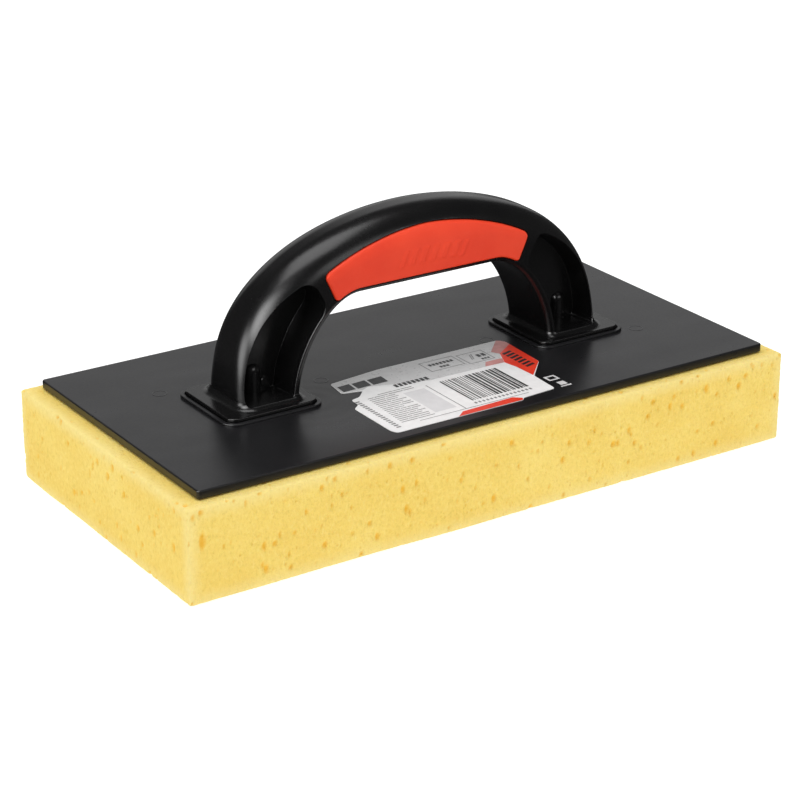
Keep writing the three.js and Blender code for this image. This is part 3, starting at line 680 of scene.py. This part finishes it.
def half_width_at(travel, depth, d, spread=0.0):
    """Half-width of a section at a distance d from its finger side, grown by spread."""
    half = HALF_WIDTH + spread
    for radius, reach in ((back_radius_at(travel), depth - d), (FINGER_RADIUS, d)):
        if reach < radius:
            grown = (radius + spread) ** 2 - (radius - reach) ** 2
            half = min(half, HALF_WIDTH - radius + math.sqrt(max(grown, 0)))
    return half


def section_outline(travel, depth, spread):
    """Closed outline of a section as (distance from the finger side, across)."""
    half = HALF_WIDTH + spread
    outline = []
    for steps, radius, end, way in (
        (BACK_STEPS, back_radius_at(travel) + spread, depth + spread, 1),
        (FINGER_STEPS, FINGER_RADIUS + spread, -spread, -1),
    ):
        turns = np.linspace(0, math.pi / 2, steps + 1)
        quarter = [
            (end - way * radius * (1 - math.sin(a)), way * (half - radius * (1 - math.cos(a))))
            for a in turns
        ]
        outline += quarter + [(d, -across) for d, across in quarter[::-1]]
    return outline


def placed_section(travel, pairs):
    """Puts (distance, across) pairs into the section's plane."""
    inner, way, _ = section_at(travel)
    return [(inner[0] + way[0] * d, across, inner[1] + way[1] * d) for d, across in pairs]


def mirror_x(rings):
    return [[(-x, y, z) for x, y, z in ring] for ring in rings]


def over_the_middle(rings):
    """Rings from one end to the middle, then their mirror images on to the other end."""
    return rings + mirror_x(rings[:-1])[::-1]


def section_of_point(x, z):
    """(travel, depth, distance from the finger side) of a point inside the arch's side view."""
    best = None
    for travel in np.linspace(0, 1, SEARCH_STATIONS + 1):
        inner, way, depth = section_at(travel)
        offset = (x - inner[0]) * way[1] - (z - inner[1]) * way[0]
        if best is None or abs(offset) < best[0]:
            distance = (x - inner[0]) * way[0] + (z - inner[1]) * way[1]
            best = (abs(offset), travel, depth, distance)
    return best[1:]


# ======== meshes from rings
def add_loft(bm, rings, mirrors=((1, 1),)):
    """Closed loft through rings of equal count, with its mirror images (x and y factors)."""
    for fx, fy in mirrors:
        rows = [[bm.verts.new((x * fx * MM, y * fy * MM, z * MM)) for x, y, z in ring] for ring in rings]
        count = len(rows[0])
        faces = [bm.faces.new(rows[0]), bm.faces.new(rows[-1])]
        for low, high in zip(rows, rows[1:]):
            for i in range(count):
                j = (i + 1) % count
                faces.append(bm.faces.new((low[i], low[j], high[j], high[i])))
        bmesh.ops.recalc_face_normals(bm, faces=faces)


def loft_mesh(name, rings, mirrors=((1, 1),)):
    bm = bmesh.new()
    add_loft(bm, rings, mirrors)
    mesh = bpy.data.meshes.new(name)
    bm.to_mesh(mesh)
    bm.free()
    return mesh


def applied(body):
    """The object's mesh with its modifiers applied. The object itself goes."""
    graph = bpy.context.evaluated_depsgraph_get()
    mesh = bpy.data.meshes.new_from_object(body.evaluated_get(graph))
    bpy.data.objects.remove(body)
    return mesh


def carved(mesh, steps):
    """A mesh after a row of boolean steps, each (operation, mesh)."""
    body = bpy.data.objects.new("carving", mesh)
    SCENE.collection.objects.link(body)
    tools = []
    for operation, tool_mesh in steps:
        tool = bpy.data.objects.new("tool", tool_mesh)
        SCENE.collection.objects.link(tool)
        tools.append(tool)
        step = body.modifiers.new(operation, "BOOLEAN")
        step.operation = operation
        step.solver = "MANIFOLD"
        step.object = tool
    result = applied(body)
    for tool in tools:
        bpy.data.objects.remove(tool)
    return result


AREA_WEIGHT = 70


def softened(mesh, angle):
    """Smooth shading that favours large faces and keeps edges sharper than the angle in degrees."""
    mesh.shade_smooth()
    mesh.set_sharp_from_angle(angle=math.radians(angle))
    body = bpy.data.objects.new("softening", mesh)
    SCENE.collection.objects.link(body)
    weigh = body.modifiers.new("weigh", "WEIGHTED_NORMAL")
    weigh.keep_sharp = True
    weigh.weight = AREA_WEIGHT
    return applied(body)


def block_rings(half_x, half_y, low, high, corner, bevel, at_x):
    """Rings of a block with rounded plan corners and rounded top and bottom edges."""
    rings = []
    turns = np.linspace(0, math.pi / 2, FLANGE_BEVEL_STEPS + 1)
    levels = [(bevel * (1 - math.sin(a)), low + bevel * (1 - math.cos(a))) for a in turns]
    levels += [(inset, high - (z - low)) for inset, z in levels[::-1]]
    for inset, z in levels:
        ring = []
        radius = corner - inset
        for quarter, (sx, sy) in enumerate(((1, 1), (-1, 1), (-1, -1), (1, -1))):
            for step in range(FLANGE_CORNER_STEPS + 1):
                a = math.pi / 2 * (quarter + step / FLANGE_CORNER_STEPS)
                x = sx * (half_x - corner) + radius * math.cos(a)
                ring.append((at_x + x, sy * (half_y - corner) + radius * math.sin(a), z))
        rings.append(ring)
    return rings


def turned_rings(profile, at, steps, upright=True):
    """Rings of a body of revolution from (radius, level) pairs, about Z or about Y."""
    rings = []
    for radius, level in profile:
        ring = []
        for i in range(steps):
            a = 2 * math.pi * i / steps
            u, v = radius * math.cos(a), radius * math.sin(a)
            ring.append((at[0] + u, v, level) if upright else (at[0] + u, level, at[1] + v))
        rings.append(ring)
    return rings


# ======== handle details
FINGER_WALL = 3.0
BACK_WALL_LOW, BACK_WALL_HIGH, BACK_WALL_POWER = 2.0, 7.4, 1.5  # from the foot to the recess's top
WALL_DRAFT = 2.0  # how much a recess narrows from its mouth to its floor
SILL_HEIGHT = 1.2
RECESS_BRIDGE = 3.9  # left between a recess and the inset, along the handle
RECESS_CORNER, SILL_CORNER = 5.5, 1.2
RECESS_STEPS, CORNER_STEPS = 44, 10
CORNER_SHARE = 0.48  # most of an edge that one corner takes
RECESS_LIP = 0.7
RECESS_FLOOR_FILLET = 0.35
FLOOR_FILLET_TURNS = np.radians([0, 22.5, 45, 67.5, 90])
INLAY_DEPTH = 4.5
INLAY_PROUD = 0.7
INLAY_GAP = 0.35
INLAY_LIP = 0.3
INLAY_EDGE = 1.0
INLAY_MARGINS = (2.3, 6.4)  # from the finger side and from the back
INLAY_LENGTH = 87.2
INLAY_CORNER = 2.0
INLAY_TAPER = 2.8  # how much narrower it is at its ends, on the back's side
INLAY_TAPER_POWER = 1.5
INLAY_STEP, POCKET_STEP = 0.42, 1.4  # between stations along the handle
INLAY_ACROSS, INLAY_EDGE_STEPS, INLAY_CORNER_STEPS = 46, 6, 8
INLAY_END = 1 - INLAY_LENGTH / 2 / FINGER_LENGTH
RECESS_END = INLAY_END - RECESS_BRIDGE / FINGER_LENGTH
RECESS_FOOT = (FLANGE_THICKNESS + SILL_HEIGHT) / FINGER_LENGTH
BOSS_RADIUS = 4.0
BOSS_DOME = 55.7
DOME_STEPS, DOME_END = 12, 1.53  # short of a quarter turn, so that a small flat closes it
PILOT_RADIUS, PILOT_TOP, PILOT_POINT, PILOT_TIP = 2.15, 56.5, 0.86, 0.02
BOSS_SIDES, PILOT_SIDES, PAD_SIDES = 48, 32, 40
PAD_RADIUS, PAD_REACH, PAD_OFFSET, PAD_RISE, PAD_EDGE = 2.1, 2.5, 5.6, 5.0, 0.25
HANDLE_SHARP, INSET_SHARP = 34, 50  # degrees from which an edge stays sharp


def bent(start, corner, end):
    """Points of a quadratic curve round a corner, without its start."""
    t = np.linspace(0, 1, CORNER_STEPS + 1)[1:, None]
    return list((1 - t) ** 2 * start + 2 * t * (1 - t) * corner + t * t * end)


def rounded_corner(start, corner, following, reach):
    share = min(reach / np.linalg.norm(following - corner), CORNER_SHARE)
    return bent(start, corner, corner + (following - corner) * share)


def recess_outline(inward):
    """Outline of a leg recess in the side view. inward shrinks it all round."""

    def finger_point(travel):
        inner, way, _ = section_at(travel)
        return inner + way * (FINGER_WALL + inward)

    def outer_point(travel):
        share = (travel - RECESS_FOOT) / (RECESS_END - RECESS_FOOT)
        wall = BACK_WALL_LOW + (BACK_WALL_HIGH - BACK_WALL_LOW) * share ** BACK_WALL_POWER
        inner, way, depth = section_at(travel)
        return inner + way * (depth - wall - inward)

    def run(point_at, length):
        start, end = RECESS_FOOT + SILL_CORNER / length, RECESS_END - RECESS_CORNER / length
        return [point_at(t) for t in np.linspace(start, end, RECESS_STEPS + 1)]

    finger = run(finger_point, FINGER_LENGTH)
    outer = run(outer_point, BACK_LENGTH)[::-1]
    foot_finger = finger_point(RECESS_FOOT)
    foot_outer = np.array([outer[-1][0], foot_finger[1]])
    top_finger, top_outer = finger_point(RECESS_END), outer_point(RECESS_END)
    return [
        *finger,
        *rounded_corner(finger[-1], top_finger, top_outer, RECESS_CORNER),
        *rounded_corner(outer[0], top_outer, top_finger, RECESS_CORNER)[::-1],
        *outer,
        *rounded_corner(outer[-1], foot_outer, foot_finger, SILL_CORNER),
        *rounded_corner(finger[0], foot_finger, foot_outer, SILL_CORNER)[::-1],
    ]


def recess_rings():
    """Cutter for one recess: a filleted floor at the web, drafted walls and a rounded lip."""
    slope = WALL_DRAFT / (HALF_WIDTH + OVERRUN - WEB_HALF)
    rings = []
    for a in FLOOR_FILLET_TURNS:
        inward = WALL_DRAFT + RECESS_FLOOR_FILLET * (1 - math.sin(a))
        across = WEB_HALF + RECESS_FLOOR_FILLET * (1 - math.cos(a))
        rings.append([(x, -across, z) for x, z in recess_outline(inward)])
    mouth = recess_outline(0)
    surface = [half_width_at(*section_of_point(x, z)) for x, z in mouth]
    for a in LIP_TURNS:
        spread = recess_outline(slope * OVERRUN - RECESS_LIP * (1 - math.cos(a)))
        drop = RECESS_LIP * (1 - math.sin(a))
        rings.append([(x, drop - half, z) for (x, z), half in zip(spread, surface)])
    spread = recess_outline(slope * OVERRUN - RECESS_LIP)
    rings.append([(x, -HALF_WIDTH - OVERRUN, z) for x, z in spread])
    return rings


def rounding_drop(radius, distance):
    """How far a rounded edge lies below its face at a distance from its side."""
    return 0 if distance >= radius else radius - math.sqrt(radius ** 2 - (radius - distance) ** 2)


def inlay_span(travel, from_end, grow):
    """Lower and upper limit of the inlay in a section, with the section's depth."""
    depth = section_at(travel)[2]
    corner = rounding_drop(INLAY_CORNER + grow, from_end)
    share = max(0, min(1, 1 - (from_end - grow) / (INLAY_LENGTH / 2)))
    back = INLAY_MARGINS[1] + INLAY_TAPER * share ** INLAY_TAPER_POWER
    return INLAY_MARGINS[0] - grow + corner, depth - back + grow - corner, depth


def end_stations(corner, reach, step):
    """Distances from an inlay's end, close together where its corners round."""
    turn = corner * (1 - np.cos(np.linspace(0, math.pi / 2, INLAY_CORNER_STEPS + 1)))
    return np.concatenate([turn, np.linspace(corner, reach, max(2, round((reach - corner) / step)))[1:]])


def pocket_rings():
    """Cutter for one inset's pocket, with a rounded lip."""
    grow = INLAY_GAP
    rings = []
    for s in end_stations(INLAY_CORNER + grow, INLAY_LENGTH / 2 + grow, POCKET_STEP):
        travel = INLAY_END + (s - grow) / FINGER_LENGTH
        low, high, depth = inlay_span(travel, s, grow)
        floor = HALF_WIDTH - INLAY_DEPTH
        lower, upper = [(low, floor)], []
        for a in LIP_TURNS:
            out, drop = INLAY_LIP * (1 - math.cos(a)), INLAY_LIP * (1 - math.sin(a))
            lower.append((low - out, half_width_at(travel, depth, low - out) - drop))
            upper.append((high + out, half_width_at(travel, depth, high + out) - drop))
        top = HALF_WIDTH + OVERRUN
        loop = lower + [(low - INLAY_LIP, top), (high + INLAY_LIP, top)] + upper[::-1] + [(high, floor)]
        rings.append([(x, -y, z) for x, y, z in placed_section(travel, loop)])
    return over_the_middle(rings)


def make_handle():
    sweep = over_the_middle([
        placed_section(t, section_outline(t, section_at(t)[2], 0))
        for t in np.linspace(0, 1, SWEEP_STATIONS + 1)
    ])
    flare = []
    for a in np.linspace(0, math.pi / 2, FLARE_STEPS):
        outline = section_outline(0, LEG_DEPTH, FILLET * (1 - math.sin(a)))
        z = FLANGE_TOP + FILLET * (1 - math.cos(a))
        flare.append([(FINGER_X + d, across, z) for d, across in outline])
    sunk = [(x, y, FLANGE_TOP - FLANGE_THICKNESS / 2) for x, y, _ in flare[0]]
    flange = block_rings(*FLANGE_HALF, PLATE_TOP, FLANGE_TOP, FLANGE_CORNER, FLANGE_BEVEL, FOOT_X)
    dome = [
        (BOSS_RADIUS * math.cos(a), BOSS_DOME + BOSS_RADIUS * math.sin(a))
        for a in np.linspace(0, DOME_END, DOME_STEPS)
    ]
    boss = [(BOSS_RADIUS, FLANGE_TOP - FLANGE_THICKNESS / 2)] + dome
    pilot = [
        (PILOT_RADIUS, PLATE_TOP - OVERRUN),
        (PILOT_RADIUS, PILOT_TOP),
        (PILOT_TIP, PILOT_TOP + PILOT_POINT),
    ]
    pad = [
        (PAD_RADIUS - PAD_EDGE, -PAD_REACH),
        (PAD_RADIUS, PAD_EDGE - PAD_REACH),
        (PAD_RADIUS, PAD_REACH - PAD_EDGE),
        (PAD_RADIUS - PAD_EDGE, PAD_REACH),
    ]
    boss = turned_rings(boss, (FOOT_X, 0), BOSS_SIDES)
    pilot = turned_rings(pilot, (FOOT_X, 0), PILOT_SIDES)
    pad = turned_rings(pad, (FOOT_X - PAD_OFFSET, FLANGE_TOP + PAD_RISE), PAD_SIDES, upright=False)
    both, four, faces = ((1, 1), (-1, 1)), ((1, 1), (-1, 1), (1, -1), (-1, -1)), ((1, 1), (1, -1))
    mesh = carved(loft_mesh("handle", sweep), [
        ("UNION", loft_mesh("flare", [sunk] + flare, both)),
        ("DIFFERENCE", loft_mesh("recess", recess_rings(), four)),
        ("UNION", loft_mesh("pad", pad, both)),
        ("DIFFERENCE", loft_mesh("pocket", pocket_rings(), faces)),
        ("UNION", loft_mesh("flange", flange, both)),
        ("UNION", loft_mesh("boss", boss, both)),
        ("DIFFERENCE", loft_mesh("pilot", pilot, both)),
    ])
    mesh = softened(mesh, HANDLE_SHARP)
    new_piece("handle", mesh, handle_material(), ("handle_body",))


# ======== soft insets
RELIEF_HEIGHT = 0.28
RELIEF_EDGE = 0.35
RELIEF_MIDDLE, RELIEF_HALF_LENGTH = 2.0, 15.5  # along the handle
RELIEF_DROP = 1.6  # towards the fingers, from the inset's middle line
RELIEF_HALF_HEIGHT = 3.4
RELIEF_PITCH, RELIEF_BAR, RELIEF_SLANT = 5.0, 1.55, 0.45


def relief_at(x, from_middle):
    """Height of the row of slanted bars at a place on the inset."""
    slid = x - RELIEF_MIDDLE - RELIEF_SLANT * from_middle
    bar = abs((slid + RELIEF_PITCH / 2) % RELIEF_PITCH - RELIEF_PITCH / 2)
    inside = min(RELIEF_BAR - bar, RELIEF_HALF_HEIGHT - abs(from_middle), RELIEF_HALF_LENGTH - abs(slid))
    return RELIEF_HEIGHT * float(smooth_step(0, RELIEF_EDGE, inside))


def inset_rings():
    """Rings of the front inset from end to end. Its relief isn't symmetric, so neither half is a mirror."""
    halves = []
    for side in (1, -1):
        row = []
        for s in end_stations(INLAY_CORNER, INLAY_LENGTH / 2, INLAY_STEP):
            travel = INLAY_END + s / FINGER_LENGTH
            low, high, depth = inlay_span(travel, s, 0)
            middle = (low + high) / 2
            inner, way, _ = section_at(travel)
            edge = INLAY_EDGE * (1 - np.cos(np.linspace(0, math.pi / 2, INLAY_EDGE_STEPS + 1)))
            inside = np.linspace(INLAY_EDGE, high - low - INLAY_EDGE, INLAY_ACROSS)[1:-1]
            loop = [(low, HALF_WIDTH - INLAY_DEPTH)]
            for k in np.concatenate([edge, inside, high - low - edge[::-1]]):
                lift = INLAY_PROUD - rounding_drop(INLAY_EDGE, min(k, high - low - k, s))
                x = side * (inner[0] + way[0] * (low + k))
                lift += relief_at(x, low + k - middle + RELIEF_DROP)
                loop.append((low + k, half_width_at(travel, depth, low + k, lift)))
            loop.append((high, HALF_WIDTH - INLAY_DEPTH))
            row.append([(side * x, -y, z) for x, y, z in placed_section(travel, loop)])
        halves.append(row)
    return halves[0] + halves[1][:-1][::-1]


def make_insets():
    material = grip_material()
    rings = inset_rings()
    for name, flip in (("front", 1), ("rear", -1)):
        turned = [[(flip * x, flip * y, z) for x, y, z in ring] for ring in rings]
        mesh = softened(loft_mesh("inset_" + name, turned), INSET_SHARP)
        new_piece("soft_inset_" + name, mesh, material, ("grip_inset_" + name,))


# ======== label print
# The print is plain shapes that say nothing. Its places and sizes are millimetres on the plate.
INK_HEIGHT = 0.02 * MM
PRINT_SEED = 7
BAND_OUTLINE = (
    (-40.2, -4.4), (-16.2, -1.4), (43.2, -1.3), (34.0, -10.8), (36.0, -14.4), (33.2, -19.4),
    (22.8, -23.0), (-5.0, -22.6), (-29.4, -14.7), (-32.6, -16.5), (-41.6, -14.8),
)
PANEL_BOX = (-21.2, -51.4, -11.2, -28.2)
RED_OUTLINES = (
    ((45.8, -7.6), (36.0, -14.4), (32.0, -23.4), (33.2, -30.0), (33.6, -41.1), (44.5, -30.0)),
    ((-16.0, -59.9), (14.9, -59.9), (15.8, -58.2), (12.7, -55.6), (-11.9, -56.6)),
)
FADED_OUTLINES = (
    ((43.2, -1.3), (34.0, -10.8), (36.0, -14.4), (45.8, -7.6), (45.9, -4.9), (44.7, -2.4)),
    ((25.6, -18.8), (32.6, -18.8), (33.7, -19.2), (32.0, -23.2), (22.8, -22.8)),
)
BLOCK_SPANS = ((-40.3, -34.6), (-33.6, -27.2), (-26.2, -19.2))
BLOCK_LEVELS, BLOCK_LEAN = (-14.3, -14.2, -8.2, -8.6), 0.4
# Rows of dashes where large print stood: start, end, level, height, shortest and longest dash, gap.
DARK_ROWS = (
    (-20.0, -3.2, -21.6, 2.9, (1.4, 1.4), 0.7),
    (3.8, 16.0, -10.4, 2.0, (1.2, 1.2), 0.55),
    (7.0, 12.6, -13.8, 1.5, (1.0, 1.3), 0.4),
    (26.6, 30.6, -12.6, 2.8, (1.6, 1.6), 0.7),
    (26.4, 31.0, -15.8, 1.4, (1.0, 1.0), 0.4),
)
# Slanted bars on the red corner: the first one's corners, and the drop to the next.
SLANTED_BAR = ((36.6, -15.0), (41.4, -13.6), (41.6, -15.1), (36.8, -16.5))
SLANTED_BARS, SLANTED_PITCH = 7, 2.7
BARS_BOX = (-2.4, -49.6, 25.4, -26.2)  # the block of upright bars
BAR_WIDTHS, BAR_GAPS = (0.35, 0.35, 0.7, 1.05), (0.45, 0.6, 0.95)
FRAMES = ((1.3, -15.6, 17.8, -5.3), (19.2, -17.2, 31.8, -6.3))
FRAME_LINE = 0.4
STROKES, STROKE_WIDTH, STROKE_LEAN = ((22.4, -13.8), (23.4, -13.4)), 0.5, (1.9, 5.2)
RULES = ((-9.3, -54.8, -8.9, -26.4), (-31.0, -55.2, 21.0, -54.85))
TEXT_LINES, TEXT_TOP, TEXT_PITCH, TEXT_HEIGHT = 18, -24.2, 1.68, 0.48
TEXT_DASH, TEXT_GAP = (2.6, 8.0), 0.4
TEXT_START, TEXT_FIRST_START, TEXT_SLIP = -36.2, -30.5, 0.1
TEXT_LONG_END, TEXT_LONG_LINES, TEXT_END = -14.4, 2, -22.4
TEXT_SHORTER, TEXT_SHORT_EVERY = 2.5, 5
TICKS, TICK_PITCH, TICK_BOX = 17, 1.85, (-42.4, -56.2, -40.4, -55.2)
UNDER_BARS = (-3.0, 25.2, -52.9, 1.6, (1.0, 1.0), 0.9)
MARK_FRAME, MARK_LINE = (35.6, -49.6, 40.8, -45.0), 0.9
MARK_BARS = ((36.0, -57.2, 41.2, -56.2), (37.0, -55.4, 40.4, -52.0))


class Print:
    """Thin closed patches of one ink that stand on one level."""

    def __init__(self, level):
        self.bm = bmesh.new()
        self.level = level

    def patch(self, corners):
        rings = []
        for z in (self.level, self.level + INK_HEIGHT):
            rings.append([self.bm.verts.new((x * MM, y * MM, z)) for x, y in corners])
        low, high = rings
        count = len(corners)
        self.bm.faces.new(high)
        self.bm.faces.new(low[::-1])
        for i in range(count):
            j = (i + 1) % count
            self.bm.faces.new((low[i], low[j], high[j], high[i]))

    def bar(self, x0, y0, x1, y1):
        self.patch([(x0, y0), (x1, y0), (x1, y1), (x0, y1)])

    def frame(self, x0, y0, x1, y1, line):
        self.bar(x0, y0, x1, y0 + line)
        self.bar(x0, y1 - line, x1, y1)
        self.bar(x0, y0 + line, x0 + line, y1 - line)
        self.bar(x1 - line, y0 + line, x1, y1 - line)

    def dashes(self, rng, x0, x1, y, height, dash, gap):
        """A row of dashes whose lengths are drawn between two limits."""
        x = x0
        while x < x1 - dash[0]:
            end = min(x + rng.uniform(*dash), x1)
            self.bar(x, y, end, y + height)
            x = end + gap

    def finish(self, name, material):
        bmesh.ops.recalc_face_normals(self.bm, faces=self.bm.faces[:])
        mesh = bpy.data.meshes.new(name)
        self.bm.to_mesh(mesh)
        self.bm.free()
        return new_piece(name, mesh, material)


def print_dark(ink, rng):
    """Blocks, rows of dashes, slanted bars and the block of upright bars."""
    for x0, x1 in BLOCK_SPANS:
        ink.patch(list(zip((x0, x1, x1 + BLOCK_LEAN, x0 + BLOCK_LEAN), BLOCK_LEVELS)))
    for row in DARK_ROWS:
        ink.dashes(rng, *row)
    for i in range(SLANTED_BARS):
        ink.patch([(x, y - SLANTED_PITCH * i) for x, y in SLANTED_BAR])
    x, foot, end, top = BARS_BOX
    while x < end:
        width = rng.choice(BAR_WIDTHS)
        ink.bar(x, foot, x + width, top)
        x += width + rng.choice(BAR_GAPS)


def print_grey(ink, rng):
    """Frames, strokes, rules, lines where small text stood, and ticks at the left."""
    for box in FRAMES:
        ink.frame(*box, FRAME_LINE)
    for x, y in STROKES:
        over, up = STROKE_LEAN
        ink.patch([(x, y), (x + STROKE_WIDTH, y), (x + over + STROKE_WIDTH, y + up), (x + over, y + up)])
    for rule in RULES:
        ink.bar(*rule)
    for i in range(TEXT_LINES):
        start = (TEXT_START if i else TEXT_FIRST_START) - TEXT_SLIP * i
        end = TEXT_LONG_END if i < TEXT_LONG_LINES else TEXT_END
        if i % TEXT_SHORT_EVERY == TEXT_SHORT_EVERY - 1:
            end -= TEXT_SHORTER
        ink.dashes(rng, start, end, TEXT_TOP - TEXT_PITCH * i, TEXT_HEIGHT, TEXT_DASH, TEXT_GAP)
    x0, y0, x1, y1 = TICK_BOX
    for i in range(TICKS):
        ink.bar(x0, y0 + TICK_PITCH * i, x1, y1 + TICK_PITCH * i)
    ink.dashes(rng, *UNDER_BARS)


def make_label():
    rng = random.Random(PRINT_SEED)
    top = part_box("product_label")[1].z
    second, third = top + 2 * INK_HEIGHT, top + 4 * INK_HEIGHT  # so that no two inks share a face
    finish_node("product_label", film_material("label_stock", (0.84, 0.84, 0.835), (0.91, 0.91, 0.905)))

    silver, panel, red, faded = Print(top), Print(top), Print(second), Print(second)
    silver.patch(BAND_OUTLINE)
    panel.bar(*PANEL_BOX)
    for outline in RED_OUTLINES:
        red.patch(outline)
    for outline in FADED_OUTLINES:
        faded.patch(outline)
    dark, grey, marks = Print(third), Print(second), Print(PLATE_TOP * MM)
    print_dark(dark, rng)
    print_grey(grey, rng)
    marks.frame(*MARK_FRAME, MARK_LINE)
    for bar in MARK_BARS:
        marks.bar(*bar)

    # Piece, its print, then the ink: a name, two near colours and a roughness.
    for piece, layer, ink in (
        ("label_silver_band", silver, ("silver_ink", (0.59, 0.585, 0.585), (0.64, 0.64, 0.64), 0.3)),
        ("label_pale_panel", panel, ("pale_panel", (0.68, 0.68, 0.685), (0.74, 0.74, 0.745), 0.36)),
        ("label_red_ink", red, ("red_ink", (0.74, 0.040, 0.018), (0.84, 0.058, 0.026), 0.34)),
        ("label_faded_red_ink", faded, ("faded_red_ink", (0.50, 0.20, 0.19), (0.64, 0.27, 0.25), 0.34)),
        ("label_dark_ink", dark, ("dark_ink", (0.018, 0.019, 0.020), (0.032, 0.033, 0.034), 0.4)),
        ("label_grey_ink", grey, ("grey_ink", (0.20, 0.20, 0.20), (0.30, 0.30, 0.30), 0.4)),
        ("plate_white_marks", marks, ("white_mark_ink", (0.60, 0.60, 0.60), (0.74, 0.74, 0.74), 0.45)),
    ):
        layer.finish(piece, film_material(*ink))


# ======== assembly
def main():
    make_camera()
    make_studio()
    make_floor()
    make_sponge()
    finish_node("backing_plate", plate_material())
    make_handle()
    make_insets()
    finish_node("adhesive_layer", adhesive_material())
    steel = steel_material()
    finish_node("left_foot_screw", steel)
    finish_node("right_foot_screw", steel)
    make_label()


main()
